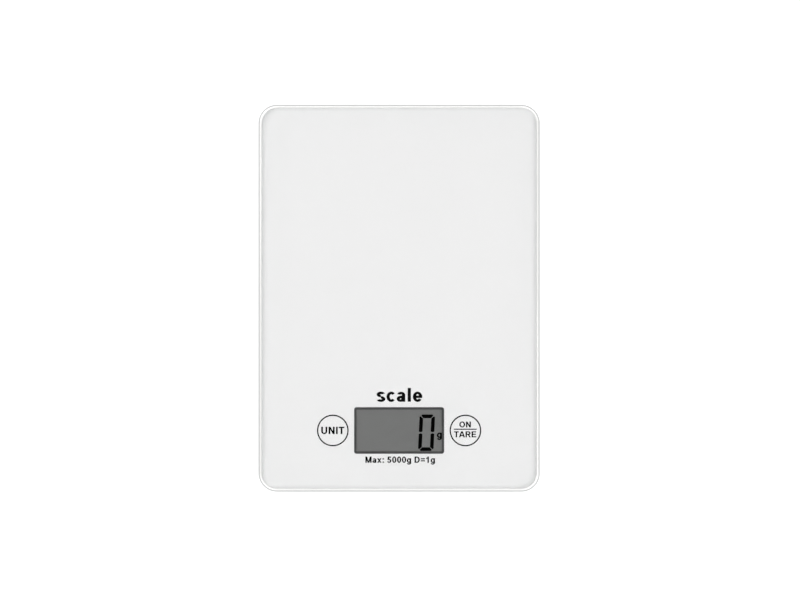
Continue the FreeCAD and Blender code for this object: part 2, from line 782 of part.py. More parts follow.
def make_touch_springs():
    for label, (x, y) in zip(("touch_spring_unit", "touch_spring_tare"), KEYS):
        coil(label, (x, y, "board_top + touch_wire_radius"), Vector(0, 0, 1),
             ("touch_spring_radius", "touch_spring_top_radius"),
             "board_drop - 2 * touch_wire_radius - touch_spring_gap", TOUCH_SPRING_TURNS, "touch_wire_radius")


# ---------------------------------------------------------------- load cells and feet

CORNERS = {
    "front_left": ("-foot_x", "-foot_y", 0),
    "front_right": ("foot_x", "-foot_y", 0),
    "back_left": ("-foot_x", "foot_y", 180),
    "back_right": ("foot_x", "foot_y", 180),
}


def corner_body(name, corner):
    """A body drawn about its own middle and placed at the corner, its +Y towards the scale's middle."""
    x, y, turn = CORNERS[corner]
    body = new_body(f"{name}_{corner}")
    body.Placement = FreeCAD.Placement(Vector(0, 0, 0), FreeCAD.Rotation(Vector(0, 0, 1), turn))
    body.setExpression("Placement.Base.x", bound(x))
    body.setExpression("Placement.Base.y", bound(y))
    return body


def tongue_slot(sketch):
    """The U-shaped slot that leaves a tongue joined to the cell at its inner end."""
    polygon(sketch, [
        ("-tongue_width / 2 - slot", "cell_length / 2 - cell_end"),
        ("-tongue_width / 2 - slot", "-cell_length / 2 + cell_end"),
        ("tongue_width / 2 + slot", "-cell_length / 2 + cell_end"),
        ("tongue_width / 2 + slot", "cell_length / 2 - cell_end"),
        ("tongue_width / 2", "cell_length / 2 - cell_end"),
        ("tongue_width / 2", "-tongue_width / 2"),
        ("-tongue_width / 2", "-tongue_width / 2"),
        ("-tongue_width / 2", "cell_length / 2 - cell_end"),
    ])


def carrier_sides(sketch, inner_x, half_y):
    """A bar along each side of the carrier, from the inner x to the carrier's own side."""
    for side in SIDES:
        edges = sorted((f"{side} * ({inner_x})", f"{side} * carrier_half_width"), key=value)
        rectangle(sketch, *edges, f"-({half_y})", half_y)


def make_corner(corner):
    """A load cell that rests on the rails of its carrier under two hooks, and the foot that hangs
    from the cell's tongue."""
    cell = corner_body("load_cell", corner)
    add(cell, "cell_bottom", "cell_top", rounded_rectangle, "-cell_width / 2", "cell_width / 2",
        "-cell_length / 2", "cell_length / 2", "cell_corner")
    cut(cell, "cell_bottom", "cell_top", tongue_slot)
    cut(cell, "cell_bottom", "cell_top", circle, "0", "0", "neck_radius + neck_gap")

    seal = corner_body("gauge_seal", corner)
    add(seal, "cell_top", "cell_top + seal_height", circle, "0", "seal_y", "seal_radius")
    fillet(seal, edges_at(seal, "cell_top + seal_height"), "seal_round")

    carrier = corner_body("cell_carrier", corner)
    add(carrier, "floor_top", "floor_top + carrier_floor", rectangle, "-carrier_half_width",
        "carrier_half_width", "-carrier_half_length", "carrier_half_length")
    cut(carrier, "floor_top", "floor_top + carrier_floor", circle, "0", "0",
        "foot_hole_radius + carrier_hole_gap")
    add(carrier, "floor_top + carrier_floor", "cell_bottom", carrier_sides, "cell_width / 2 - rail_breadth",
        "carrier_half_length")
    add(carrier, "cell_bottom", "hook_bottom", carrier_sides, "carrier_half_width - carrier_wall",
        "carrier_half_length")
    add(carrier, "hook_bottom", "cell_bottom + carrier_wall_height", carrier_sides,
        "cell_width / 2 - hook_reach", "hook_length / 2")

    cup = corner_body("foot_cup", corner)
    add(cup, "cup_bottom", "cup_top", circle, "0", "0", "cup_radius")
    fillet(cup, edges_at(cup, "cup_bottom"), "foot_round")
    cut(cup, "cup_bottom", "pad_thickness", circle, "0", "0", "pad_radius")
    add(cup, "cup_top", "cell_bottom", circle, "0", "0", "stud_radius")
    add(cup, "cell_bottom", "stud_head_bottom", circle, "0", "0", "neck_radius")
    add(cup, "stud_head_bottom", "stud_head_bottom + stud_head_height", circle, "0", "0", "stud_head_radius")

    pad = corner_body("foot_pad", corner)
    add(pad, "0", "pad_thickness", circle, "0", "0", "pad_radius")
    fillet(pad, edges_at(pad, "0"), "foot_round")


# ---------------------------------------------------------------- battery

def lengthwise(body, start, end, draw, *sizes):
    """Adds the outline's prism along +X from the start to the end."""
    before = volume(body)
    sketch = new_sketch(body, start, "YZ_Plane")
    draw(sketch, *sizes)
    pad = body.newObject("PartDesign::Pad", f"{body.Label}_pad")
    pad.Profile = sketch
    pad.setExpression("Length", bound(f"({end}) - ({start})"))
    doc.recompute()
    if volume(body) <= before:
        raise ValueError(f"{pad.Name} adds nothing to {body.Label}")


def make_battery_cells():
    """The two cells lie side by side and point opposite ways."""
    cells = {"battery_cell_1": ("battery_low_y", 1, 0), "battery_cell_2": ("battery_high_y", -1, 180)}
    shoulder = "battery_length / 2 - nub_length"
    for label, (y, direction, turn) in cells.items():
        body = new_body(label)
        body.Placement = FreeCAD.Placement(Vector(0, 0, 0), FreeCAD.Rotation(Vector(0, 0, 1), turn))
        body.setExpression("Placement.Base.y", bound(y))
        body.setExpression("Placement.Base.x", bound(f"{direction} * battery_shift"))
        lengthwise(body, "-battery_length / 2", shoulder, circle, "0", "battery_axis", "battery_radius")
        lengthwise(body, shoulder, "battery_length / 2", circle, "0", "battery_axis", "nub_radius")


def contact_blade(body, side, low, high):
    """A flat blade that stands against an end wall of the bay."""
    edges = sorted((f"{side} * contact_x", f"{side} * (contact_x + contact_thickness)"), key=value)
    lengthwise(body, *edges, rectangle, low, high, "battery_axis - contact_height / 2",
               "battery_axis + contact_height / 2")


def make_contacts():
    """Two single blades with solder tags at the left end, and a bridge across both cells at the right."""
    for label, y in (("contact_negative", "battery_low_y"), ("contact_positive", "battery_high_y")):
        body = new_body(label)
        contact_blade(body, -1, f"{y} - contact_width / 2", f"{y} + contact_width / 2")
        add(body, "tag_bottom", "tag_bottom + contact_thickness", rectangle, "-bay_outer_x - tag_reach",
            "-contact_x", f"{y} - tag_width / 2", f"{y} + tag_width / 2")
    bridge = new_body("contact_bridge")
    contact_blade(bridge, 1, "battery_low_y - contact_width / 2", "battery_high_y + contact_width / 2")

    springs = {"battery_spring_1": (1, "battery_low_y"), "battery_spring_2": (-1, "battery_high_y")}
    for label, (side, y) in springs.items():
        coil(label, (f"{-side} * (contact_x - cone_wire_radius)", y, "battery_axis"), Vector(side, 0, 0),
             ("cone_radius", "cone_top_radius"), "cone_height", BATTERY_SPRING_TURNS, "cone_wire_radius")


def hinge_roll(sketch):
    circle(sketch, "hinge_y", "hinge_z", "hinge_rise")


def hinge_pin(sketch):
    circle(sketch, "hinge_y", "hinge_z", "hinge_pin_radius")


def make_door():
    """The door hangs on a roll with two pins. Its wider part stops short of the roll, so that it
    swings clear of the shell's ledge."""
    body = new_body("battery_door")
    inner_x = "bay_x - door_gap"
    outer_x = "bay_x + door_ledge - door_gap"
    latch = ("-latch_width / 2", "latch_width / 2")
    add(body, "shell_bottom", "door_top", rectangle, f"-({outer_x})", outer_x, "door_low_y + door_gap",
        "hinge_y - door_ear_setback")
    add(body, "shell_bottom", "door_top", rectangle, f"-({inner_x})", inner_x,
        "hinge_y - door_ear_setback - root", "hinge_y")
    lengthwise(body, f"-({inner_x})", inner_x, hinge_roll)
    lengthwise(body, f"-({inner_x}) - hinge_pin_length", f"{inner_x} + hinge_pin_length", hinge_pin)
    add(body, "door_top - root", "latch_top", rectangle, *latch, "latch_low_y",
        "latch_low_y + latch_thickness")
    add(body, "latch_top - nib_drop - nib_height", "latch_top - nib_drop", rectangle, *latch,
        "latch_low_y - nib", "latch_low_y")
    cut(body, "shell_bottom", "shell_bottom + thumb_depth", circle, "0", "door_low_y", "thumb_radius")


# ---------------------------------------------------------------- leads

# A lead's stations are measured from the end of the route that they lie near. Those on its long run
# are shares of the way between the two ends, so they keep their order on a longer or shorter scale.

def between(start, end, share):
    return start + (end - start) * share


def lead(label, points, radius):
    """A lead along its stations. Prints the radii of its bends."""
    bends = round_wire(label, points, radius)
    print(f"{label} bends at radii " + ", ".join(f"{bend:.1f}" for bend in bends))


def make_cell_leads():
    """A cell lead runs from its gauge seal over the floor to its solder joint on the main board."""
    radius = value("lead_radius")
    foot_x = value("foot_x")
    start_y = value("foot_y - seal_y")
    seal_z = value("cell_top + lead_radius + lead_rest_gap")
    rib_z = value("floor_top + rib_depth + lead_radius + lead_rib_gap")
    joint = (value("display_y + joint_y"), value("joint_end_z"))
    board_y = value("board_high_y")
    front_x = value("front_joint_x")
    back_x = value("back_joint_x")
    run_start = start_y - 8
    run_end = board_y + 15
    for side, name in zip(SIDES, ("left", "right")):
        lead(f"cell_lead_front_{name}", [
            (side * foot_x, -start_y + 2, seal_z),
            (side * foot_x, -start_y + 8, seal_z),
            (side * (foot_x - 4), board_y - 6, seal_z - 0.2),
            (side * (front_x + 6), board_y + 1, seal_z - 0.2),
            (side * (front_x + 1.5), board_y, seal_z + 0.4),
            (side * front_x, *joint),
        ], radius)
        lead(f"cell_lead_back_{name}", [
            (side * foot_x, start_y - 2, seal_z),
            (side * foot_x, run_start, seal_z),
            (side * (foot_x + 1), between(run_start, run_end, 0.09), rib_z + 0.4),
            (side * (foot_x + 2), between(run_start, run_end, 0.24), rib_z),
            (side * (foot_x + 1), between(run_start, run_end, 0.52), rib_z),
            (side * (foot_x + 2), between(run_start, run_end, 0.83), rib_z),
            (side * (foot_x - 1), run_end, rib_z + 0.6),
            (side * (back_x + 11), board_y + 5, seal_z - 0.4),
            (side * (back_x + 3), board_y + 1, seal_z),
            (side * back_x, *joint),
        ], radius)


def make_battery_leads():
    """A battery lead runs from its solder tag round the left of the bay to the main board."""
    radius = value("battery_lead_radius")
    tag_x = value("-bay_outer_x")
    tag_z = value("tag_bottom") - radius
    joint = (value("display_y + joint_y"), value("joint_end_z"))
    board_y = value("board_high_y")
    red_y = value("battery_high_y")
    red_x = value("-battery_joint_x")
    red_start = red_y - 6
    red_end = board_y + 14
    lead("battery_lead_red", [
        (tag_x - 0.9, red_y, tag_z),
        (tag_x - 6, red_y, tag_z),
        (tag_x - 12, red_start, tag_z - 1.4),
        (tag_x - 14, between(red_start, red_end, 0.25), tag_z - 2.4),
        (tag_x - 13, between(red_start, red_end, 0.68), tag_z - 2.4),
        (red_x - 17, red_end, tag_z - 2),
        (red_x - 5, board_y + 3.5, tag_z - 1.4),
        (red_x - 1, board_y - 0.5, tag_z - 0.6),
        (red_x, *joint),
    ], radius)
    black_y = value("battery_low_y")
    black_x = value("-battery_joint_x + battery_joint_gap")
    black_start = black_y - 5
    black_end = board_y + 15
    lead("battery_lead_black", [
        (tag_x - 0.9, black_y, tag_z),
        (tag_x - 5, black_y, tag_z),
        (tag_x - 9, black_start, tag_z - 1.2),
        (tag_x - 10, between(black_start, black_end, 0.26), tag_z - 2.2),
        (tag_x - 9, between(black_start, black_end, 0.69), tag_z - 2.4),
        (black_x - 17, black_end, tag_z - 2),
        (black_x - 5, board_y + 4.5, tag_z - 1.4),
        (black_x - 1, board_y, tag_z - 0.6),
        (black_x, *joint),
    ], radius)


# ---------------------------------------------------------------- build, check and write

make_glass()
make_print()
make_tape()
make_frame()
make_shell()
make_display()
make_board()
make_screws()
make_touch_springs()
for corner in CORNERS:
    make_corner(corner)
make_battery_cells()
make_contacts()
make_door()
make_cell_leads()
make_battery_leads()

faults = [item.Name for item in doc.Objects if "Invalid" in item.State or "Error" in item.State]
if faults:
    raise ValueError(f"these did not recompute: {faults}")

SUB_PART_TYPES = ("PartDesign::Body", "Part::Feature")
sub_parts = [item for item in doc.Objects if item.TypeId in SUB_PART_TYPES]
for item in sub_parts:
    if item.Shape.isNull() or not item.Shape.isValid() or not item.Shape.Solids:
        raise ValueError(f"{item.Label} is not a valid solid")

os.makedirs("parts", exist_ok=True)
for item in sub_parts:
    item.Shape.exportStep(f"parts/{item.Label}.step")
    print(f"{item.Label}: {len(item.Shape.Solids)} solid(s), {item.Shape.Volume:.1f} mm3")
print(f"{len(sub_parts)} sub-parts")
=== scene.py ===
import math

import bmesh
import bpy
from mathutils import Matrix, Vector, geometry


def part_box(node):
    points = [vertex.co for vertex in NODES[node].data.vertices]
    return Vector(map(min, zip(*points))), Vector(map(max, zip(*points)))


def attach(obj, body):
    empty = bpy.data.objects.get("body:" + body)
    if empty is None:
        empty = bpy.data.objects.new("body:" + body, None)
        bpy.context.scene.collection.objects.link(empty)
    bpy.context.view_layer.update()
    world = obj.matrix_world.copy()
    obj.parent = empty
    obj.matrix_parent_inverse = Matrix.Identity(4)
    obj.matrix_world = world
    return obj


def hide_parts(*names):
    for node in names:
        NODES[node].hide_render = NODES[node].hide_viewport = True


# A slim glass kitchen scale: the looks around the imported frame. Lengths are in metres, and sizes
# below are written in millimetres and turned by MM.

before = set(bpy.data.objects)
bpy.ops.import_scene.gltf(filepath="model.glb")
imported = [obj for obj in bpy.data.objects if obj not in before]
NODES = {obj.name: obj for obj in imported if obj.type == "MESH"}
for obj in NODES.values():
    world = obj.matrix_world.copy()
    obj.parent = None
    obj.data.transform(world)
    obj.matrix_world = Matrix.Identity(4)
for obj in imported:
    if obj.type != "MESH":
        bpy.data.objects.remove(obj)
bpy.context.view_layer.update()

MM = 0.001

# ---------------------------------------------------------------- camera, light and floor

VIEW_WIDTH = 454.5 * MM    # what the picture takes in from side to side
LENS = 200.0               # long, so the platform shows no sides from above
SENSOR = 36.0
VIEW_CENTRE = Vector((0.5 * MM, -1.0 * MM, 0.0))
SOFTBOX_PLACE = Vector((1.2, -0.8, 1.5))    # the right one, and the left one is turned half round
SOFTBOX_SIZE = 1.3
SOFTBOX_POWER = 11.5
CARD_HALF = 0.32           # half the side of the black card
CARD_HEIGHT = 2.75
WORLD_LEVEL = 0.72
TABLE_REACH = 4.0
TABLE_GLOW = 0.3


def make_camera():
    data = bpy.data.cameras.new("overhead_camera")
    data.lens = LENS
    data.sensor_width = SENSOR
    data.clip_start = 0.05
    data.clip_end = 50.0
    camera = bpy.data.objects.new("overhead_camera", data)
    glass_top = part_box("glass_platform")[1][2]
    camera.location = VIEW_CENTRE + Vector((0, 0, glass_top + VIEW_WIDTH * LENS / SENSOR))
    bpy.context.scene.collection.objects.link(camera)
    bpy.context.scene.camera = camera


def make_softbox(name, side):
    """A square area light to one side that faces the middle of the scale."""
    data = bpy.data.lights.new(name, "AREA")
    data.shape = "SQUARE"
    data.size = SOFTBOX_SIZE
    data.energy = SOFTBOX_POWER
    light = bpy.data.objects.new(name, data)
    light.location = SOFTBOX_PLACE * Vector((side, side, 1))
    light.rotation_euler = (-light.location).to_track_quat("-Z", "Y").to_euler()
    bpy.context.scene.collection.objects.link(light)


def make_stage_square(name, half, height, material):
    """A level square of the stage, which isn't part of the scale."""
    mesh = bpy.data.meshes.new(name)
    mesh.from_pydata([(i * half, j * half, height) for i, j in ((-1, -1), (1, -1), (1, 1), (-1, 1))], [],
                     [(0, 1, 2, 3)])
    mesh.materials.append(material)
    square = bpy.data.objects.new(name, mesh)
    bpy.context.scene.collection.objects.link(square)


def make_black_card():
    """A black card over the camera, as over a copy stand, so that flat glass mirrors no light."""
    material, tree = new_material("black_felt")
    noise = add_node(tree, "ShaderNodeTexNoise", {"Scale": 1 / (2 * MM)}, {"Vector": object_place(tree)})
    felt = add_node(tree, "ShaderNodeBsdfPrincipled", {"Roughness": 1.0, "Specular IOR Level": 0.0},
                    {"Base Color": mottled(tree, noise.outputs["Fac"], "#030303", "#060606")})
    make_stage_square("black_card", CARD_HALF, CARD_HEIGHT, finish_material(material, tree, felt))


def make_table_top():
    """A plain white table top that glows a little, as a light table does. From below it is clear, so
    that the underside of the scale can be looked at."""
    material, tree = new_material("white_laminate_table")
    noise, bump = fine_bump(tree, object_place(tree), 1.5, 0.01)
    shader = add_node(tree, "ShaderNodeBsdfPrincipled", {
        "Emission Color": (1, 1, 1, 1), "Emission Strength": TABLE_GLOW}, {
        "Base Color": mottled(tree, noise.outputs["Fac"], "#f6f6f6", "#f8f8f8"),
        "Roughness": spread(tree, noise.outputs["Fac"], 0.5, 0.6),
        "Normal": bump.outputs["Normal"],
    })
    clear = add_node(tree, "ShaderNodeBsdfTransparent")
    below = add_node(tree, "ShaderNodeNewGeometry").outputs["Backfacing"]
    one_way = add_node(tree, "ShaderNodeMixShader", links={
        "Fac": below, 1: shader.outputs[0], 2: clear.outputs[0]})
    make_stage_square("table_top", TABLE_REACH, 0, finish_material(material, tree, one_way))


def make_world():
    """Even white light from all round, as in a white studio."""
    world = bpy.data.worlds.new("studio_white")
    world.use_nodes = True
    world.node_tree.nodes["Background"].inputs["Color"].default_value = (1, 1, 1, 1)
    world.node_tree.nodes["Background"].inputs["Strength"].default_value = WORLD_LEVEL
    bpy.context.scene.world = world


# ---------------------------------------------------------------- material helpers

def linear(colour):
    """An sRGB hex colour as linear red, green, blue and alpha."""
    def channel(pair):
        share = int(pair, 16) / 255
        return share / 12.92 if share <= 0.04045 else ((share + 0.055) / 1.055) ** 2.4
    return tuple(channel(colour[i:i + 2]) for i in (1, 3, 5)) + (1.0,)


def add_node(tree, kind, settings=None, links=None):
    """Adds a node. Settings are attributes, or input values by name or number. Links are input to
    socket."""
    node = tree.nodes.new(kind)
    for key, setting in (settings or {}).items():
        if isinstance(key, int) or key in node.inputs:
            node.inputs[key].default_value = setting
        else:
            setattr(node, key, setting)
    for key, socket in (links or {}).items():
        tree.links.new(socket, node.inputs[key])
    return node


def new_material(name):
    material = bpy.data.materials.new(name)
    material.use_nodes = True
    material.node_tree.nodes.clear()
    return material, material.node_tree


def finish_material(material, tree, shader):
    add_node(tree, "ShaderNodeOutputMaterial", links={"Surface": shader.outputs[0]})
    return material


def object_place(tree):
    return add_node(tree, "ShaderNodeTexCoord").outputs["Object"]


def fine_bump(tree, place, grain, depth, detail=2.0, strength=0.5):
    """Noise of the given grain size as a bump of the given depth, both in millimetres."""
    noise = add_node(tree, "ShaderNodeTexNoise", {"Scale": 1 / (grain * MM), "Detail": detail},
                     {"Vector": place})
    bump = add_node(tree, "ShaderNodeBump", {"Distance": depth * MM, "Strength": strength},
                    {"Height": noise.outputs["Fac"]})
    return noise, bump


def mottled(tree, factor, first, second):
    """A colour that drifts between two close shades."""
    mix = add_node(tree, "ShaderNodeMix", {"data_type": "RGBA"}, {"Factor": factor})
    mix.inputs["A"].default_value = linear(first)
    mix.inputs["B"].default_value = linear(second)
    return next(socket for socket in mix.outputs if socket.type == "RGBA")


def spread(tree, factor, low, high):
    """The factor's 0.3 to 0.7 stretched to low to high, for a roughness that varies."""
    ranged = add_node(tree, "ShaderNodeMapRange", {
        "From Min": 0.3, "From Max": 0.7, "To Min": low, "To Max": high}, {"Value": factor})
    return ranged.outputs["Result"]


def clouds(tree, place, size, detail):
    """Soft patches of the given size in millimetres."""
    return add_node(tree, "ShaderNodeTexNoise", {"Scale": 1 / (size * MM), "Detail": detail},
                    {"Vector": place}).outputs["Fac"]


def moulded(name, first, second, grain, depth, rough, ior=1.5, sheen=0.0, gloss=0.5):
    """A moulded plastic or rubber: two close shades, an eroded grain and a varying roughness."""
    material, tree = new_material(name)
    place = object_place(tree)
    noise, bump = fine_bump(tree, place, grain, depth)
    shader = add_node(tree, "ShaderNodeBsdfPrincipled", {
        "IOR": ior, "Sheen Weight": sheen, "Specular IOR Level": gloss}, {
        "Base Color": mottled(tree, clouds(tree, place, 12, 3.0), first, second),
        "Roughness": spread(tree, noise.outputs["Fac"], *rough),
        "Normal": bump.outputs["Normal"],
    })
    return finish_material(material, tree, shader)


def plated(name, first, second, grain, depth, rough):
    """A plated or rolled metal: two close tones, fine scratches and a varying roughness."""
    material, tree = new_material(name)
    place = object_place(tree)
    stretched = add_node(tree, "ShaderNodeMapping", {"Scale": (1.0, 0.08, 1.0)}, {"Vector": place})
    noise, bump = fine_bump(tree, stretched.outputs["Vector"], grain, depth, 4.0)
    shader = add_node(tree, "ShaderNodeBsdfPrincipled", {"Metallic": 1.0}, {
        "Base Color": mottled(tree, clouds(tree, place, 3, 4.0), first, second),
        "Roughness": spread(tree, noise.outputs["Fac"], *rough),
        "Normal": bump.outputs["Normal"],
    })
    return finish_material(material, tree, shader)


# ---------------------------------------------------------------- materials

WHITE_INK = "#eeeeee"
# painted shade: the ink's colour at its edge, darker than the flat, for the shade under the glass's sloped rim
WHITE_INK_PAINTED_EDGE_SHADE = "#eaeaea"
PAINTED_SHADE_REACH = 4.6 * MM        # how far in from its edge the painted shade on the white ink reaches
INK_CORNER = 8.5 * MM      # corner radius of the white ink
INK_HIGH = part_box("back_print")[1]
# painted by facing: the edge's colour where it looks up, and where it looks sideways, darker and green for
# light through the pane
GLASS_EDGE_TOP = "#cacaca"
GLASS_EDGE_SIDE_PAINTED_TINT = "#b9c6c1"


def clear_glass(name, tint, shadow_tint, rough):
    """Clear soda-lime glass with sharp reflections. Shadow rays pass straight through it, so what
    lies behind it is lit as through real clear glass."""
    material, tree = new_material(name)
    glass = add_node(tree, "ShaderNodeBsdfPrincipled", {
        "Base Color": linear(tint), "Roughness": rough, "IOR": 1.52, "Transmission Weight": 1.0})
    clear = add_node(tree, "ShaderNodeBsdfTransparent", {"Color": linear(shadow_tint)})
    rays = add_node(tree, "ShaderNodeLightPath")
    mix = add_node(tree, "ShaderNodeMixShader", links={
        "Fac": rays.outputs["Is Shadow Ray"], 1: glass.outputs[0], 2: clear.outputs[0]})
    return finish_material(material, tree, mix)


def ground_edge():
    """The wheel-ground edge of the pane: a fine matt frosting. Its colour is painted by facing: pale grey on
    faces that look up, a darker green on faces that look sideways, a painted tint for the light that passes
    through more glass there."""
    material, tree = new_material("wheel_ground_glass_edge")
    place = object_place(tree)
    noise, bump = fine_bump(tree, place, 0.12, 0.006, 3.0)
    # the world normal's upward share picks between the two painted tints
    facing = add_node(tree, "ShaderNodeNewGeometry").outputs["Normal"]
    upward = add_node(tree, "ShaderNodeSeparateXYZ", links={"Vector": facing}).outputs["Z"]
    rise = add_node(tree, "ShaderNodeMapRange", {"From Min": 0.0, "From Max": 0.6}, {"Value": upward})
    shader = add_node(tree, "ShaderNodeBsdfPrincipled", {"IOR": 1.52}, {
        "Base Color": mottled(tree, rise.outputs["Result"], GLASS_EDGE_SIDE_PAINTED_TINT, GLASS_EDGE_TOP),
        "Roughness": spread(tree, noise.outputs["Fac"], 0.45, 0.6),
        "Normal": bump.outputs["Normal"],
    })
    return finish_material(material, tree, shader)


def white_back_ink():
    """White screen ink behind the glass, an even film with a faint mesh grain. Over the last few millimetres
    to its edge its colour darkens: painted shade that stands in for the dimming under the glass's sloped rim,
    so the rim looks a soft grey."""
    material, tree = new_material("white_screen_ink")
    place = object_place(tree)
    fold = add_node(tree, "ShaderNodeVectorMath", {"operation": "ABSOLUTE"}, {0: place})
    core = add_node(tree, "ShaderNodeVectorMath", {"operation": "SUBTRACT"}, {0: fold.outputs[0]})
    core.inputs[1].default_value = (INK_HIGH[0] - INK_CORNER, INK_HIGH[1] - INK_CORNER, 0.0)
    beyond = add_node(tree, "ShaderNodeVectorMath", {"operation": "MAXIMUM"}, {0: core.outputs[0]})
    flat = add_node(tree, "ShaderNodeVectorMath", {"operation": "MULTIPLY"}, {0: beyond.outputs[0]})
    flat.inputs[1].default_value = (1.0, 1.0, 0.0)
    reach = add_node(tree, "ShaderNodeVectorMath", {"operation": "LENGTH"}, {0: flat.outputs[0]})
    # painted shade mask: 0 in the flat of the ink, rising to 1 at its edge
    painted_shade_mask = add_node(tree, "ShaderNodeMapRange", {
        "From Min": INK_CORNER - PAINTED_SHADE_REACH, "From Max": INK_CORNER, "interpolation_type": "SMOOTHSTEP"}, {
        "Value": reach.outputs["Value"]})
    noise, bump = fine_bump(tree, place, 0.1, 0.002)
    shader = add_node(tree, "ShaderNodeBsdfPrincipled", {"IOR": 1.5}, {
        "Base Color": mottled(tree, painted_shade_mask.outputs["Result"], WHITE_INK, WHITE_INK_PAINTED_EDGE_SHADE),
        "Roughness": spread(tree, noise.outputs["Fac"], 0.45, 0.55),
        "Normal": bump.outputs["Normal"],
    })
    return finish_material(material, tree, shader)


def printed_ink(name, first, second, rough=0.5):
    """Screen-printed ink: an even film with a faint mesh grain of about 0.1 mm. It is bonded to the
    glass with no air between, so it has no gloss of its own."""
    return moulded(name, first, second, 0.1, 0.002, (rough - 0.05, rough + 0.05), gloss=0.0)


def polarising_film():
    """A stretched polarising film over a brushed reflector: neutral grey with a faint grain along
    the stretch, drawn at 0.3 mm because the real one is too fine to show."""
    material, tree = new_material("polarising_film_on_reflector")
    place = object_place(tree)
    stretched = add_node(tree, "ShaderNodeMapping", {"Scale": (0.04, 1.0, 1.0)}, {"Vector": place})
    noise, bump = fine_bump(tree, stretched.outputs["Vector"], 0.3, 0.001, 3.0, 0.3)
    shader = add_node(tree, "ShaderNodeBsdfPrincipled", {"IOR": 1.48}, {
        "Base Color": mottled(tree, noise.outputs["Fac"], "#707170", "#747574"),
        "Roughness": spread(tree, noise.outputs["Fac"], 0.3, 0.42),
        "Normal": bump.outputs["Normal"],
    })
    return finish_material(material, tree, shader)


def solder_mask():
    """Green solder mask over a glass-fibre board: the copper tracks stand up a little under it."""
    material, tree = new_material("solder_mask_on_fibre_board")
    place = object_place(tree)
    tracks = add_node(tree, "ShaderNodeTexBrick", {
        "Scale": 1 / (9 * MM), "Mortar Size": 0.05, "Bias": -0.5, "Color1": linear("#0f5a2c"),
        "Color2": linear("#11602f"), "Mortar": linear("#2c8a4c")}, {"Vector": place})
    bump = add_node(tree, "ShaderNodeBump", {"Distance": 0.03 * MM, "Strength": 0.6},
                    {"Height": tracks.outputs["Fac"]})
    noise = add_node(tree, "ShaderNodeTexNoise", {"Scale": 1 / (0.6 * MM)}, {"Vector": place})
    shader = add_node(tree, "ShaderNodeBsdfPrincipled", {"IOR": 1.5, "Coat Weight": 0.4}, {
        "Base Color": tracks.outputs["Color"],
        "Roughness": spread(tree, noise.outputs["Fac"], 0.25, 0.4),
        "Normal": bump.outputs["Normal"],
    })
    return finish_material(material, tree, shader)


def layered_rubber():
    """Conductive and insulating silicone in 0.1 mm layers, drawn at 0.5 mm so that they show."""
    material, tree = new_material("layered_silicone_connector")
    place = object_place(tree)
    layer = 0.5 * MM
    wave = add_node(tree, "ShaderNodeTexWave", {"Scale": 1 / (20 * layer), "Distortion": 0.2},
                    {"Vector": place})
    shader = add_node(tree, "ShaderNodeBsdfPrincipled", {"IOR": 1.41, "Roughness": 0.6},
                      {"Base Color": mottled(tree, wave.outputs["Fac"], "#17171a", "#a8a49c")})
    return finish_material(material, tree, shader)


MATERIALS = {
    # float glass, tempered: its flat faces are as clear as they came from the bath
    "glass": clear_glass("tempered_soda_lime_glass", "#fefefe", "#fcfcfc", 0.0),
    "ground_edge": ground_edge(),
    # thin sheet with a faint cool cast
    "display_glass": clear_glass("thin_display_glass", "#eef4f2", "#e6edea", 0.02),
    "white_ink": white_back_ink(),
    "black_ink": printed_ink("black_screen_ink", "#0c0c0c", "#121212"),
    # a dark grey border round the display window, laid as ink: a painted shadow of the window's edge
    "window_shadow_ink": printed_ink("painted_window_shadow_ink", "#4e4e4e", "#535353"),
    "film": polarising_film(),
    # twisted liquid crystal between crossed films: a soft near-black
    "segment": printed_ink("switched_liquid_crystal", "#020202", "#060606", 0.35),
    # ABS from a spark-eroded mould: an even satin of fine grains
    "abs": moulded("spark_eroded_white_abs", "#e9e9e7", "#efefed", 0.35, 0.02, (0.42, 0.56)),
    "abs_grey": moulded("spark_eroded_pale_grey_abs", "#d6d7d7", "#dcdddd", 0.35, 0.02, (0.42, 0.56)),
    "abs_black": moulded("moulded_black_abs", "#161617", "#1c1c1d", 0.3, 0.012, (0.4, 0.55)),
    # thermoplastic rubber, soft to the eye, with a bloom that lifts its edges
    "rubber": moulded("soft_grey_rubber", "#6b6d6f", "#75777a", 0.2, 0.015, (0.7, 0.85), 1.52, 0.15),
    "tape": moulded("acrylic_foam_tape", "#202122", "#2a2b2c", 0.15, 0.03, (0.8, 0.95)),
    # cured sealant, smooth and slightly wet to the eye
    "silicone": moulded("white_silicone_sealant", "#e6e4de", "#efede8", 1.2, 0.05, (0.35, 0.5), 1.41),
    "grey_vinyl": moulded("grey_vinyl_jacket", "#76787b", "#808286", 0.4, 0.01, (0.45, 0.6)),
    "red_vinyl": moulded("red_vinyl_jacket", "#a81f1b", "#b52723", 0.4, 0.01, (0.45, 0.6)),
    "black_vinyl": moulded("black_vinyl_jacket", "#151516", "#1e1e1f", 0.4, 0.01, (0.45, 0.6)),
    "epoxy": moulded("black_potting_resin", "#0c0c0d", "#131314", 1.0, 0.03, (0.15, 0.3), 1.55),
    "ceramic": moulded("fired_chip_ceramic", "#5a4633", "#6b553f", 0.3, 0.01, (0.4, 0.6), 1.6),
    "board": solder_mask(),
    "connector": layered_rubber(),
    "nickel": plated("bright_nickel_plated_steel", "#c9c6bf", "#d6d3cc", 0.08, 0.003, (0.16, 0.32)),
    "steel": plated("rolled_alloy_steel", "#a5a6a8", "#b3b4b6", 0.12, 0.004, (0.28, 0.44)),
    "solder": plated("bright_tin_solder", "#b9bbbd", "#c8cacc", 0.3, 0.02, (0.2, 0.4)),
    # shrunk film sleeve on a battery can, semi-gloss
    "sleeve": moulded("printed_film_sleeve", "#1f5a4a", "#246351", 2.0, 0.004, (0.25, 0.35)),
    "sleeve_band": moulded("pale_film_sleeve", "#c9ccc8", "#d3d6d2", 2.0, 0.004, (0.25, 0.35)),
}

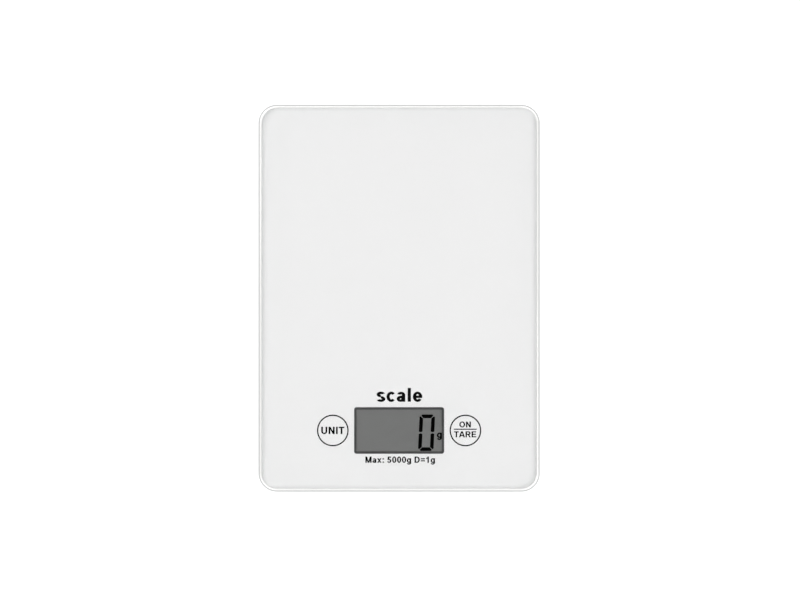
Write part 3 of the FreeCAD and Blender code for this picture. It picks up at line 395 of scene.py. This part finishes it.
NODE_MATERIALS = {
    "glass_platform": "glass",
    "back_print": "white_ink",
    "bonding_tape": "tape",
    "carrier_frame": "abs",
    "base_shell": "abs",
    "battery_door": "abs",
    "foot_cup": "abs_grey",
    "foot_pad": "rubber",
    "cell_carrier": "abs_grey",
    "lcd_front_glass": "display_glass",
    "lcd_rear_glass": "display_glass",
    "lcd_polariser": "film",
    "lcd_reflector": "film",
    "lcd_holder": "abs_black",
    "zebra_strip": "connector",
    "main_board": "board",
    "chip_blob": "epoxy",
    "chip_resistors": "ceramic",
    "chip_capacitors": "ceramic",
    "solder_joints": "solder",
    "load_cell": "steel",
    "gauge_seal": "silicone",
    "cell_lead": "grey_vinyl",
    "battery_lead_red": "red_vinyl",
    "battery_lead_black": "black_vinyl",
    "battery_cell": "sleeve",
    "battery_spring": "nickel",
    "crystal_can": "nickel",
    "contact": "nickel",
    "touch_spring": "nickel",
    "shell_screws": "nickel",
    "board_screws": "nickel",
}


def finish_nodes():
    for name, node in NODES.items():
        key = next(start for start in NODE_MATERIALS if name.startswith(start))
        for slot in node.material_slots:
            slot.material = MATERIALS[NODE_MATERIALS[key]]


# ---------------------------------------------------------------- mesh helpers

def new_piece(name, mesh, materials, body, smooth_angle=35):
    """An object at the origin that rides on a body. Faces smooth up to the angle in degrees."""
    piece = bpy.data.objects.new(name, mesh)
    bpy.context.scene.collection.objects.link(piece)
    if not mesh.materials:
        for key in materials:
            mesh.materials.append(MATERIALS[key])
    if smooth_angle:
        mesh.shade_smooth()
        mesh.set_sharp_from_angle(angle=math.radians(smooth_angle))
    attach(piece, body)
    return piece


def rounded_outline(half_x, half_y, radius, steps=10, centre=(0.0, 0.0)):
    """Points round a rectangle with round corners, anticlockwise."""
    points = []
    for quarter, (i, j) in enumerate(((1, 1), (-1, 1), (-1, -1), (1, -1))):
        for step in range(steps + 1):
            angle = (quarter + step / steps) * math.pi / 2
            x = i * (half_x - radius) + radius * math.cos(angle)
            y = j * (half_y - radius) + radius * math.sin(angle)
            points.append((centre[0] + x, centre[1] + y))
    return points


def shell_of_rings(name, rings, banded):
    """A mesh through rings of points, each ring joined to the next, the first and last filled. The
    faces above the banded rings take the second material."""
    mesh = bpy.data.meshes.new(name)
    count = len(rings[0])
    points = [point for ring in rings for point in ring]
    faces = []
    for level in range(len(rings) - 1):
        for i in range(count):
            j = (i + 1) % count
            low, high = level * count, (level + 1) * count
            faces.append((low + i, low + j, high + j, high + i))
    faces.append(tuple(reversed(range(count))))
    faces.append(tuple(range(len(points) - count, len(points))))
    mesh.from_pydata(points, [], faces)
    for level in banded:
        for face in mesh.polygons[level * count:(level + 1) * count]:
            face.material_index = 1
    return mesh


def outward_mesh(name, form):
    """The form as a mesh whose faces point outwards."""
    bmesh.ops.recalc_face_normals(form, faces=form.faces)
    mesh = bpy.data.meshes.new(name)
    form.to_mesh(mesh)
    form.free()
    return mesh


def film_mesh(name, form):
    """A flat form made into a film of ink."""
    sides = bmesh.ops.extrude_face_region(form, geom=form.faces[:])
    lifted = [item for item in sides["geom"] if isinstance(item, bmesh.types.BMVert)]
    bmesh.ops.translate(form, vec=(0, 0, INK), verts=lifted)
    return outward_mesh(name, form)


def raised(name, outline, holes, low):
    """A film of ink over the outline, with holes."""
    form = bmesh.new()
    edges = []
    for loop in [outline] + holes:
        corners = [form.verts.new((x, y, low)) for x, y in loop]
        edges += [form.edges.new((corners[i], corners[(i + 1) % len(corners)])) for i in range(len(corners))]
    bmesh.ops.triangle_fill(form, edges=edges, use_beauty=True)
    return film_mesh(name, form)


def merged(name, outlines, low):
    """A film of ink over everything that the outlines cover, where they overlap too."""
    points = [Vector(point) for outline in outlines for point in outline]
    areas = []
    first = 0
    for outline in outlines:
        around = list(range(first, first + len(outline)))
        area = sum(points[i].cross(points[j]) for i, j in zip(around, around[1:] + around[:1]))
        areas.append(around if area > 0 else around[::-1])
        first += len(outline)
    corners, _, faces, _, _, owners = geometry.delaunay_2d_cdt(points, [], areas, 0, 1e-7, True)
    form = bmesh.new()
    knots = [form.verts.new((x, y, low)) for x, y in corners]
    for face, owner in zip(faces, owners):
        if owner:
            form.faces.new([knots[i] for i in face])
    bmesh.ops.delete(form, geom=[knot for knot in knots if not knot.link_faces], context="VERTS")
    return film_mesh(name, form)


def grown(name, rule, sizes, key):
    """The mesh that a Geometry Nodes tree makes. The rule adds the tree's nodes and returns its
    geometry, and sizes are the tree's named inputs, each with its kind and value."""
    tree = bpy.data.node_groups.new(name, "GeometryNodeTree")
    tree.interface.new_socket("Geometry", in_out="OUTPUT", socket_type="NodeSocketGeometry")
    inputs = {label: tree.interface.new_socket(label, in_out="INPUT", socket_type=kind)
              for label, (kind, _) in sizes.items()}
    shape = rule(tree, add_node(tree, "NodeGroupInput").outputs)
    real = add_node(tree, "GeometryNodeRealizeInstances", links={"Geometry": shape})
    finished = add_node(tree, "GeometryNodeSetMaterial", {"Material": MATERIALS[key]},
                        {"Geometry": real.outputs["Geometry"]})
    add_node(tree, "NodeGroupOutput", links={"Geometry": finished.outputs["Geometry"]})
    holder = bpy.data.objects.new(name + "_holder", bpy.data.meshes.new(name + "_holder"))
    bpy.context.scene.collection.objects.link(holder)
    modifier = holder.modifiers.new("grown", "NODES")
    modifier.node_group = tree
    for label, (_, size) in sizes.items():
        modifier[inputs[label].identifier] = size
    mesh = bpy.data.meshes.new_from_object(holder.evaluated_get(bpy.context.evaluated_depsgraph_get()))
    bpy.data.objects.remove(holder)
    return mesh


def round_outline(centre, radius, steps=96):
    """Points round a circle, anticlockwise."""
    return [(centre[0] + radius * math.cos(2 * math.pi * i / steps),
             centre[1] + radius * math.sin(2 * math.pi * i / steps)) for i in range(steps)]


def turned(name, profile, steps, place):
    """A shape turned about an axis. Each point of the profile is its radius, its way along the axis and
    the number of the material up to it. The place moves the mesh."""
    form = bmesh.new()
    rings = []
    for radius, along, slot in profile:
        if radius == 0:
            rings.append([form.verts.new((0, 0, along))])
        else:
            rings.append([form.verts.new((radius * math.cos(2 * math.pi * i / steps),
                                          radius * math.sin(2 * math.pi * i / steps), along))
                          for i in range(steps)])
    for level in range(len(rings) - 1):
        low, high = rings[level], rings[level + 1]
        for i in range(steps):
            j = (i + 1) % steps
            corners = [low[i % len(low)], low[j % len(low)], high[j % len(high)], high[i % len(high)]]
            face = form.faces.new(list(dict.fromkeys(corners)))
            face.material_index = profile[level + 1][2]
    mesh = outward_mesh(name, form)
    mesh.transform(place)
    return mesh


# ---------------------------------------------------------------- glass platform

EDGE_ROUND = 1.15 * MM     # radius of the ground pencil edge
EDGE_STEPS = 8
PILLOW_RUN = 4.2 * MM      # how far in the pillowed rim reaches
PILLOW_DROP = 0.6 * MM     # how far it falls from the flat to the edge
ARRIS = 0.4 * MM           # small bevel at the underside
FLAT_EDGE = 0.5 * MM       # plain ring between the rim and the filled flat of each face
PILLOW_STEPS = 16
CORNER_STEPS = 16
PLATFORM_CORNER = 10.5 * MM
GLASS_LIFT = 0.04 * MM     # film of air between the glass and the ink behind it


def rim_profile(low, high):
    """Pairs of inset and height, from the underside round the edge to the flat of the top."""
    slope = 2 * PILLOW_DROP / PILLOW_RUN
    last = math.pi / 2 - math.atan(slope)
    turn_z = high - PILLOW_DROP - EDGE_ROUND * math.sin(last)
    profile = [(ARRIS + FLAT_EDGE, low), (ARRIS, low), (0.3 * ARRIS, low + 0.3 * ARRIS), (0.0, low + ARRIS)]
    for step in range(EDGE_STEPS + 1):
        angle = last * step / EDGE_STEPS
        profile.append((EDGE_ROUND * (1 - math.cos(angle)), turn_z + EDGE_ROUND * math.sin(angle)))
    start = profile[-1][0]
    for step in range(1, PILLOW_STEPS + 1):
        share = step / PILLOW_STEPS
        profile.append((start + PILLOW_RUN * share, high - PILLOW_DROP * (1 - share) ** 2))
    profile.append((start + PILLOW_RUN + FLAT_EDGE, high))
    return profile


def make_glass():
    """The platform: a clear pane, frosted from the underside's bevel round to the pillowed rim."""
    low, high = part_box("glass_platform")
    half_x, half_y = high[0], high[1]
    rings = []
    for inset, z in rim_profile(low[2] + GLASS_LIFT, high[2]):
        outline = rounded_outline(half_x - inset, half_y - inset, PLATFORM_CORNER - inset, CORNER_STEPS)
        rings.append([(x, y, z) for x, y in outline])
    ground = range(1, 4 + EDGE_STEPS)
    mesh = shell_of_rings("glass_pane", rings, ground)
    pane = new_piece("glass_pane", mesh, ["glass", "ground_edge"], "housing", 50)
    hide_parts("glass_platform")


# ---------------------------------------------------------------- print behind the glass

INK = 0.012 * MM           # thickness of a film of ink
INK_GAP = 0.008 * MM       # the black print lies this far in front of the white
PRINT_LEVEL = INK_HIGH[2] + INK_GAP


def middle(node, axis):
    """The middle of a CAD node's box along an axis."""
    low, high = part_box(node)
    return (low[axis] + high[axis]) / 2


DISPLAY_Y = middle("lcd_front_glass", 1)
KEY_X = middle("touch_spring_tare", 0)
WINDOW_HALF = (25.6 * MM, 13.25 * MM)
WINDOW_CORNER = 1.4 * MM
# the painted shadow inside the display window's outline: its width and inner corner radius
WINDOW_SHADOW_WIDTH = 1.35 * MM
WINDOW_SHADOW_INNER_CORNER = 0.5 * MM
KEY_RING_RADIUS = 9.0 * MM
KEY_RING_LINE = 0.74 * MM
TARE_X = KEY_X - 0.2 * MM  # middle of the two words on the tare key
DASH_HALF = (6.5 * MM, 0.3 * MM)            # the line between them
DASH_CENTRE = (KEY_X - 0.1 * MM, DISPLAY_Y + 0.7 * MM)

# Plain block letters. Sizes are shares of the height of a capital.
STEM = 0.235
BAR = 0.185
LOW_CASE = 0.725
WORD_SPACE = 0.36


def block(left, right, low, high):
    return [[(left, low), (right, low), (right, high), (left, high)]]


def stem(x, low=0.0, high=1.0):
    """An upright stroke with its middle at x."""
    return block(x - STEM / 2, x + STEM / 2, low, high)


def bar(left, right, y):
    """A level stroke with its middle at y."""
    return block(left, right, y - BAR / 2, y + BAR / 2)


def slant(foot, head, low=0.0, high=1.0):
    """A leaning stroke from its middle at the foot to its middle at the head."""
    return [[(foot - STEM / 2, low), (foot + STEM / 2, low), (head + STEM / 2, high), (head - STEM / 2, high)]]


def bow(x, y, half_x, half_y, start=0, end=360, steps=20):
    """A curved stroke along part of an oval, a stem thick at its sides and a bar thick at its top."""
    outer = []
    inner = []
    for step in range(steps + 1):
        angle = math.radians(start + (end - start) * step / steps)
        outer.append((x + half_x * math.cos(angle), y + half_y * math.sin(angle)))
        inner.append((x + (half_x - STEM) * math.cos(angle), y + (half_y - BAR) * math.sin(angle)))
    return [[inner[i], outer[i], outer[i + 1], inner[i + 1]] for i in range(steps)]


TOP = 1 - BAR / 2
FOOT = BAR / 2
# Each letter: how far it moves the next one on, and its strokes
LETTERS = {
    "U": (1.01, stem(0.21, 0.38) + stem(0.8, 0.38) + bow(0.505, 0.38, 0.4125, 0.395, 180, 360)),
    "N": (1.01, stem(0.21) + stem(0.8) + slant(0.79, 0.22)),
    "I": (0.42, stem(0.21)),
    "T": (0.85, bar(0.03, 0.82, TOP) + stem(0.425)),
    "O": (1.09, bow(0.543, 0.5, 0.49, 0.515)),
    "A": (1.0, slant(0.12, 0.47) + slant(0.88, 0.53) + bar(0.22, 0.78, 0.3)),
    "R": (1.01, stem(0.21) + bar(0.1, 0.62, TOP) + bar(0.1, 0.62, 0.5) + slant(0.85, 0.58, 0, 0.45)
          + bow(0.6, 0.7, 0.33, 0.3, -90, 90)),
    "E": (0.93, stem(0.21) + bar(0.1, 0.85, FOOT) + bar(0.1, 0.8, 0.51) + bar(0.1, 0.84, TOP)),
    "M": (1.16, stem(0.2) + stem(0.96) + slant(0.57, 0.23) + slant(0.59, 0.93)),
    "D": (1.01, stem(0.21) + bar(0.1, 0.5, TOP) + bar(0.1, 0.5, FOOT) + bow(0.48, 0.5, 0.45, 0.5, -90, 90)),
    "a": (0.76, bow(0.33, 0.21, 0.285, 0.225) + stem(0.545, 0, 0.5) + bow(0.37, 0.49, 0.2925, 0.235, 0, 165)
          + bar(0.33, 0.5, 0.36)),
    "c": (0.74, bow(0.39, 0.36, 0.345, 0.375, 42, 318)),
    "e": (0.77, bow(0.39, 0.36, 0.345, 0.375, 0, 325) + bar(0.12, 0.73, 0.36)),
    "g": (0.83, bow(0.39, 0.36, 0.345, 0.375) + stem(0.63, 0, LOW_CASE)
          + bow(0.3925, 0, 0.355, 0.29, 198, 360)),
    "l": (0.41, stem(0.2)),
    "s": (0.73, bow(0.37, 0.53, 0.31, 0.205, 20, 270) + bow(0.37, 0.195, 0.325, 0.21, -160, 90)),
    "x": (0.78, slant(0.63, 0.14, 0, LOW_CASE) + slant(0.14, 0.63, 0, LOW_CASE)),
    "0": (0.78, bow(0.388, 0.5, 0.34, 0.515)),
    "1": (0.78, stem(0.44) + [[(0.1, 0.57), (0.36, 0.7), (0.42, 1), (0.34, 0.9), (0.1, 0.76)]]),
    "5": (0.78, bar(0.16, 0.68, TOP) + slant(0.2, 0.27, 0.44) + bow(0.36, 0.315, 0.345, 0.33, -160, 142)),
    ":": (0.46, stem(0.24, 0, 0.2) + stem(0.24, LOW_CASE - 0.2, LOW_CASE)),
    "=": (0.82, bar(0.08, 0.74, 0.32) + bar(0.08, 0.74, 0.65)),
}


def lettering(name, text, width, centre, level=PRINT_LEVEL, key="black_ink"):
    """Block letters of the given width, as a thin film of ink centred at the place."""
    outlines = []
    start = 0.0
    for letter in text:
        if letter == " ":
            start += WORD_SPACE
            continue
        advance, strokes = LETTERS[letter]
        outlines += [[(x + start, y) for x, y in stroke] for stroke in strokes]
        start += advance
    spans = [[point[i] for outline in outlines for point in outline] for i in (0, 1)]
    core = [(min(span) + max(span)) / 2 for span in spans]
    scale = width / (max(spans[0]) - min(spans[0]))
    placed = [[((x - core[0]) * scale + centre[0], (y - core[1]) * scale + centre[1]) for x, y in outline]
              for outline in outlines]
    new_piece(name, merged(name, placed, level), [key], "housing", 0)


def make_print():
    """Key rings, a dark grey border round the display window that is a painted shadow of its edge, the words
    on and round them and the line between two of them.
    """
    for name, x in (("key_ring_unit", -KEY_X), ("key_ring_tare", KEY_X)):
        outer = round_outline((x, DISPLAY_Y), KEY_RING_RADIUS)
        inner = round_outline((x, DISPLAY_Y), KEY_RING_RADIUS - KEY_RING_LINE)
        new_piece(name, raised(name, outer, [inner], PRINT_LEVEL), ["black_ink"], "housing", 0)

    window = (0, DISPLAY_Y)
    # painted shadow: a dark grey band just inside the window's outline, where its edge shades the display
    outer = rounded_outline(*WINDOW_HALF, WINDOW_CORNER, 8, window)
    inner = rounded_outline(*(half - WINDOW_SHADOW_WIDTH for half in WINDOW_HALF), WINDOW_SHADOW_INNER_CORNER, 8, window)
    mesh = raised("window_shadow_border", outer, [inner], PRINT_LEVEL)
    new_piece("window_shadow_border", mesh, ["window_shadow_ink"], "housing", 0)

    lettering("legend_unit", "UNIT", 13.2 * MM, (-KEY_X, DISPLAY_Y))
    lettering("legend_on", "ON", 6.6 * MM, (TARE_X, DISPLAY_Y + 3.4 * MM))
    lettering("legend_tare", "TARE", 12.6 * MM, (TARE_X, DISPLAY_Y - 2.2 * MM))
    dash = [(DASH_CENTRE[0] + i * DASH_HALF[0], DASH_CENTRE[1] + j * DASH_HALF[1])
            for i, j in ((-1, -1), (1, -1), (1, 1), (-1, 1))]
    new_piece("legend_bar", raised("legend_bar", dash, [], PRINT_LEVEL), ["black_ink"], "housing",
              0)
    lettering("legend_capacity", "Max: 5000g D=1g", 39.6 * MM, (0.6 * MM, DISPLAY_Y - 17.1 * MM))
    lettering("legend_name", "scale", 26 * MM, (0.2 * MM, DISPLAY_Y + 20.2 * MM))


# ---------------------------------------------------------------- display

DIGIT_HEIGHT = 20.7        # millimetres, as all sizes of the digit's bars
DIGIT_WIDTH = 8.8
SEGMENT = 2.05
CORNER_CUT = 1.5
NOTCH = (0.95, 0.55)       # second point of a bar's cut end, in from the digit's side and down
MITRE_GAP = 0.2
WAIST = (0.75, 0.3, 0.7)   # heights of an upright bar's pointed end, from inside to outside
LEAN = 0.046
DIGIT_CENTRE = (15.6 * MM, DISPLAY_Y - 1.3 * MM)
UNIT_MARK_CENTRE = (22.9 * MM, DISPLAY_Y - 3.3 * MM)
FILM_GAP = 0.01 * MM


def make_digit():
    """A zero: every bar of the seven but the middle one, each with its ends cut to clear the next."""
    side = DIGIT_WIDTH / 2
    top = DIGIT_HEIGHT / 2
    inward, down = NOTCH
    level = [(side - CORNER_CUT, top), (CORNER_CUT - side, top), (inward - side, top - down),
             (SEGMENT + MITRE_GAP - side, top - SEGMENT), (side - SEGMENT - MITRE_GAP, top - SEGMENT),
             (side - inward, top - down)]
    upright = [(side, top - CORNER_CUT), (side - down, top - inward),
               (side - SEGMENT, top - SEGMENT - MITRE_GAP), (side - SEGMENT, WAIST[0]),
               (side - SEGMENT / 2, WAIST[1]), (side, WAIST[2])]
    bars = [[(x, j * y) for x, y in level] for j in (-1, 1)]
    bars += [[(i * x, j * y) for x, y in upright] for i in (-1, 1) for j in (-1, 1)]
    placed = [[((x + y * LEAN) * MM + DIGIT_CENTRE[0], y * MM + DIGIT_CENTRE[1]) for x, y in outline]
              for outline in bars]
    film_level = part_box("lcd_polariser")[1][2] + FILM_GAP
    mesh = merged("display_digit", placed, film_level)
    new_piece("display_digit", mesh, ["segment"], "housing", 0)
    lettering("display_unit_mark", "g", 2.9 * MM, UNIT_MARK_CENTRE, film_level, "segment")


# ---------------------------------------------------------------- feet, springs, door grip and cells

def grip_rings(tree, size):
    """Round beads one outside the other, an equal step apart."""
    number = add_node(tree, "GeometryNodeInputIndex").outputs["Index"]
    steps = add_node(tree, "ShaderNodeMath", {"operation": "MULTIPLY"}, {0: number, 1: size["Pitch"]})
    radius = add_node(tree, "ShaderNodeMath", {"operation": "ADD"},
                      {0: steps.outputs[0], 1: size["First radius"]})
    seats = add_node(tree, "GeometryNodePoints", links={"Count": size["Rings"]})
    ring = add_node(tree, "GeometryNodeCurvePrimitiveCircle", {"Resolution": 72, "Radius": 1.0})
    spread_out = add_node(tree, "GeometryNodeInstanceOnPoints", links={
        "Points": seats.outputs[0], "Instance": ring.outputs["Curve"], "Scale": radius.outputs[0]})
    real = add_node(tree, "GeometryNodeRealizeInstances", links={"Geometry": spread_out.outputs["Instances"]})
    bead = add_node(tree, "GeometryNodeCurvePrimitiveCircle", {"Resolution": 10},
                    {"Radius": size["Bead radius"]})
    rubber = add_node(tree, "GeometryNodeCurveToMesh",
                      links={"Curve": real.outputs["Geometry"], "Profile Curve": bead.outputs["Curve"]})
    return rubber.outputs["Mesh"]


PAD_BEAD = 0.3 * MM        # radius of a bead
PAD_BEADS = 5
PAD_BEAD_FIRST = 1.2 * MM  # radius of the innermost bead's round
PAD_BEAD_PITCH = 1.25 * MM
PAD_RECESS = 0.25 * MM     # how far the flat of the pad lies above the beads it stands on


def make_foot_pads():
    """Rubber pads with round grip beads under them."""
    for corner in ("front_left", "front_right", "back_left", "back_right"):
        node = f"foot_pad_{corner}"
        low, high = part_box(node)
        radius = (high[0] - low[0]) / 2
        thick = high[2] - low[2]
        # from the middle of the top, over the rounded foot rim, to the middle of the underside
        profile = [(0, thick), (radius - 0.15 * MM, thick), (radius, thick - 0.15 * MM), (radius, 0.6 * MM),
                   (radius - 0.18 * MM, 0.18 * MM), (radius - 0.6 * MM, 0), (radius - 1.1 * MM, 0),
                   (radius - 1.3 * MM, PAD_RECESS), (0, PAD_RECESS)]
        profile = [(*point, 0) for point in profile]
        centre = Vector((middle(node, 0), middle(node, 1), low[2]))
        mesh = turned(node + "_rubber", profile, 64, Matrix.Translation(centre))
        pad = new_piece(node + "_rubber", mesh, ["rubber"], f"foot_{corner}")
        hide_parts(node)

        beads = grown(f"foot_beads_{corner}", grip_rings, {
            "Rings": ("NodeSocketInt", PAD_BEADS),
            "First radius": ("NodeSocketFloat", PAD_BEAD_FIRST),
            "Pitch": ("NodeSocketFloat", PAD_BEAD_PITCH),
            "Bead radius": ("NodeSocketFloat", PAD_BEAD),
        }, "rubber")
        beads.transform(Matrix.Translation(centre + Vector((0, 0, PAD_BEAD))))
        new_piece(f"foot_beads_{corner}", beads, ["rubber"], f"foot_{corner}")


def wound_wire(tree, size):
    """A cone spring wound up from its foot, with half a turn at each end left flat."""
    spiral = add_node(tree, "GeometryNodeCurveSpiral", {"Resolution": 40, "Height": 0.0}, {
        "Rotations": size["Turns"], "Start Radius": size["Foot radius"], "End Radius": size["Top radius"]})
    flat = add_node(tree, "ShaderNodeMath", {"operation": "DIVIDE", 0: 0.5}, {1: size["Turns"]})
    rest = add_node(tree, "ShaderNodeMath", {"operation": "SUBTRACT", 0: 1.0}, {1: flat.outputs[0]})
    along = add_node(tree, "GeometryNodeSplineParameter").outputs["Factor"]
    rise = add_node(tree, "ShaderNodeMapRange", {"interpolation_type": "SMOOTHSTEP"}, {
        "Value": along, "From Min": flat.outputs[0], "From Max": rest.outputs[0], "To Max": size["Height"]})
    climb = add_node(tree, "ShaderNodeCombineXYZ", links={"Z": rise.outputs["Result"]})
    lifted = add_node(tree, "GeometryNodeSetPosition",
                      links={"Geometry": spiral.outputs["Curve"], "Offset": climb.outputs["Vector"]})
    section = add_node(tree, "GeometryNodeCurvePrimitiveCircle", {"Resolution": 12},
                       {"Radius": size["Wire radius"]})
    wire = add_node(tree, "GeometryNodeCurveToMesh", {"Fill Caps": True},
                    {"Curve": lifted.outputs["Geometry"], "Profile Curve": section.outputs["Curve"]})
    return wire.outputs["Mesh"]


WIRE = 0.3 * MM            # radius of the spring wire
TOUCH_SPRING = (3.5, 4.55 * MM, 3.95 * MM)      # turns, radius at the foot and at the top
BATTERY_SPRING = (4.5, 3.55 * MM, 2.35 * MM)
# Each spring: its form, the axis that it stands along and which way
SPRINGS = {
    "touch_spring_unit": (TOUCH_SPRING, 2, 1),
    "touch_spring_tare": (TOUCH_SPRING, 2, 1),
    "battery_spring_1": (BATTERY_SPRING, 0, 1),
    "battery_spring_2": (BATTERY_SPRING, 0, -1),
}


def make_springs():
    """Touch springs stand on the board, and battery springs lie along the cells."""
    for node, ((turns, foot_radius, top_radius), axis, direction) in SPRINGS.items():
        low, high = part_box(node)
        mesh = grown(node + "_wound", wound_wire, {
            "Turns": ("NodeSocketFloat", turns),
            "Foot radius": ("NodeSocketFloat", foot_radius),
            "Top radius": ("NodeSocketFloat", top_radius),
            "Height": ("NodeSocketFloat", high[axis] - low[axis] - 2 * WIRE),
            "Wire radius": ("NodeSocketFloat", WIRE),
        }, "nickel")
        foot = Vector([middle(node, i) for i in range(3)])
        foot[axis] = low[axis] + WIRE if direction > 0 else high[axis] - WIRE
        turn = Matrix.Identity(4) if axis == 2 else Matrix.Rotation(direction * math.pi / 2, 4, "Y")
        mesh.transform(Matrix.Translation(foot) @ turn)
        spring = new_piece(node + "_wound", mesh, ["nickel"], "housing", 60)
        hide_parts(node)


def thumb_bars(tree, size):
    """Straight bars in rows, each as long as the round thumb recess is wide there."""
    number = add_node(tree, "GeometryNodeInputIndex").outputs["Index"]
    steps = add_node(tree, "ShaderNodeMath", {"operation": "MULTIPLY"}, {0: number, 1: size["Pitch"]})
    offset = add_node(tree, "ShaderNodeMath", {"operation": "ADD"},
                      {0: steps.outputs[0], 1: size["First row"]})
    squares = [add_node(tree, "ShaderNodeMath", {"operation": "MULTIPLY"}, {0: side, 1: side})
               for side in (size["Recess radius"], offset.outputs[0])]
    gap = add_node(tree, "ShaderNodeMath", {"operation": "SUBTRACT"},
                   {0: squares[0].outputs[0], 1: squares[1].outputs[0]})
    half = add_node(tree, "ShaderNodeMath", {"operation": "SQRT"}, {0: gap.outputs[0]})
    places = add_node(tree, "ShaderNodeCombineXYZ", links={"Y": offset.outputs[0]})
    rows = add_node(tree, "GeometryNodePoints", links={
        "Count": size["Rows"], "Position": places.outputs["Vector"]})
    stick = add_node(tree, "GeometryNodeCurvePrimitiveLine", {"Start": (-1, 0, 0), "End": (1, 0, 0)})
    laid = add_node(tree, "GeometryNodeInstanceOnPoints", links={
        "Points": rows.outputs[0], "Instance": stick.outputs["Curve"], "Scale": half.outputs[0]})
    real = add_node(tree, "GeometryNodeRealizeInstances", links={"Geometry": laid.outputs["Instances"]})
    section = add_node(tree, "GeometryNodeCurvePrimitiveCircle", {"Resolution": 12},
                       {"Radius": size["Bar radius"]})
    bars = add_node(tree, "GeometryNodeCurveToMesh", {"Fill Caps": True},
                    {"Curve": real.outputs["Geometry"], "Profile Curve": section.outputs["Curve"]})
    return bars.outputs["Mesh"]


GRIP_BARS = 4
GRIP_FIRST = 1.1 * MM      # from the middle of the recess to the first bar
GRIP_PITCH = 1.15 * MM
GRIP_REACH = 5.4 * MM      # the bars end on a round this far from the middle of the recess
GRIP_RADIUS = 0.3 * MM
RECESS_DEPTH = 0.6 * MM
RECESS_OFFSET = 0.3 * MM   # the middle of the recess lies this far outside the door's edge


def make_door_grip():
    """Low bars in the thumb recess of the battery door."""
    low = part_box("battery_door")[0]
    mesh = grown("door_grip_bars", thumb_bars, {
        "Rows": ("NodeSocketInt", GRIP_BARS),
        "First row": ("NodeSocketFloat", GRIP_FIRST),
        "Pitch": ("NodeSocketFloat", GRIP_PITCH),
        "Recess radius": ("NodeSocketFloat", GRIP_REACH),
        "Bar radius": ("NodeSocketFloat", GRIP_RADIUS),
    }, "abs")
    mesh.transform(Matrix.Translation((0, low[1] - RECESS_OFFSET, low[2] + RECESS_DEPTH)))
    new_piece("door_grip_bars", mesh, ["abs"], "door")


NUB = 0.9 * MM             # height of a cell's nub
PALE_END = (9.0 * MM, 9.6 * MM)                 # rings at the end of the sleeve's pale part


def make_batteries():
    """Two AAA cells in film sleeves, each with a crimped end and a raised nub."""
    for number, direction in ((1, 1), (2, -1)):
        node = f"battery_cell_{number}"
        low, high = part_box(node)
        length = high[0] - low[0]
        radius = (high[2] - low[2]) / 2
        body_end = length - NUB
        profile = [(0, 0.1 * MM, 1), (3.4 * MM, 0.1 * MM, 1), (3.8 * MM, 0, 1), (4.3 * MM, 0.05 * MM, 1),
                   (4.5 * MM, 0.02 * MM, 0), (radius - 0.25 * MM, 0.15 * MM, 0), (radius, 0.6 * MM, 0),
                   (radius, PALE_END[0], 2), (radius, PALE_END[1], 2), (radius, body_end - 0.9 * MM, 0),
                   (radius - 0.25 * MM, body_end - 0.25 * MM, 0), (radius - 0.9 * MM, body_end, 0),
                   (radius - 1.2 * MM, body_end - 0.15 * MM, 1), (2.4 * MM, body_end - 0.15 * MM, 1),
                   (2.0 * MM, body_end, 1), (1.9 * MM, length - 0.2 * MM, 1), (1.7 * MM, length, 1),
                   (0, length, 1)]
        start = low[0] if direction > 0 else high[0]
        turn = Matrix.Rotation(direction * math.pi / 2, 4, "Y")
        centre = Vector((start, middle(node, 1), middle(node, 2)))
        mesh = turned(node + "_sleeved", profile, 48, Matrix.Translation(centre) @ turn)
        cell = new_piece(node + "_sleeved", mesh, ["sleeve", "nickel", "sleeve_band"], "housing")
        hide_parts(node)


# ---------------------------------------------------------------- scene

make_camera()
make_black_card()
make_world()
make_softbox("left_softbox", -1)
make_softbox("right_softbox", 1)
make_table_top()
finish_nodes()
make_glass()
make_print()
make_digit()
make_foot_pads()
make_springs()
make_door_grip()
make_batteries()

bpy.context.scene.view_settings.view_transform = "Standard"
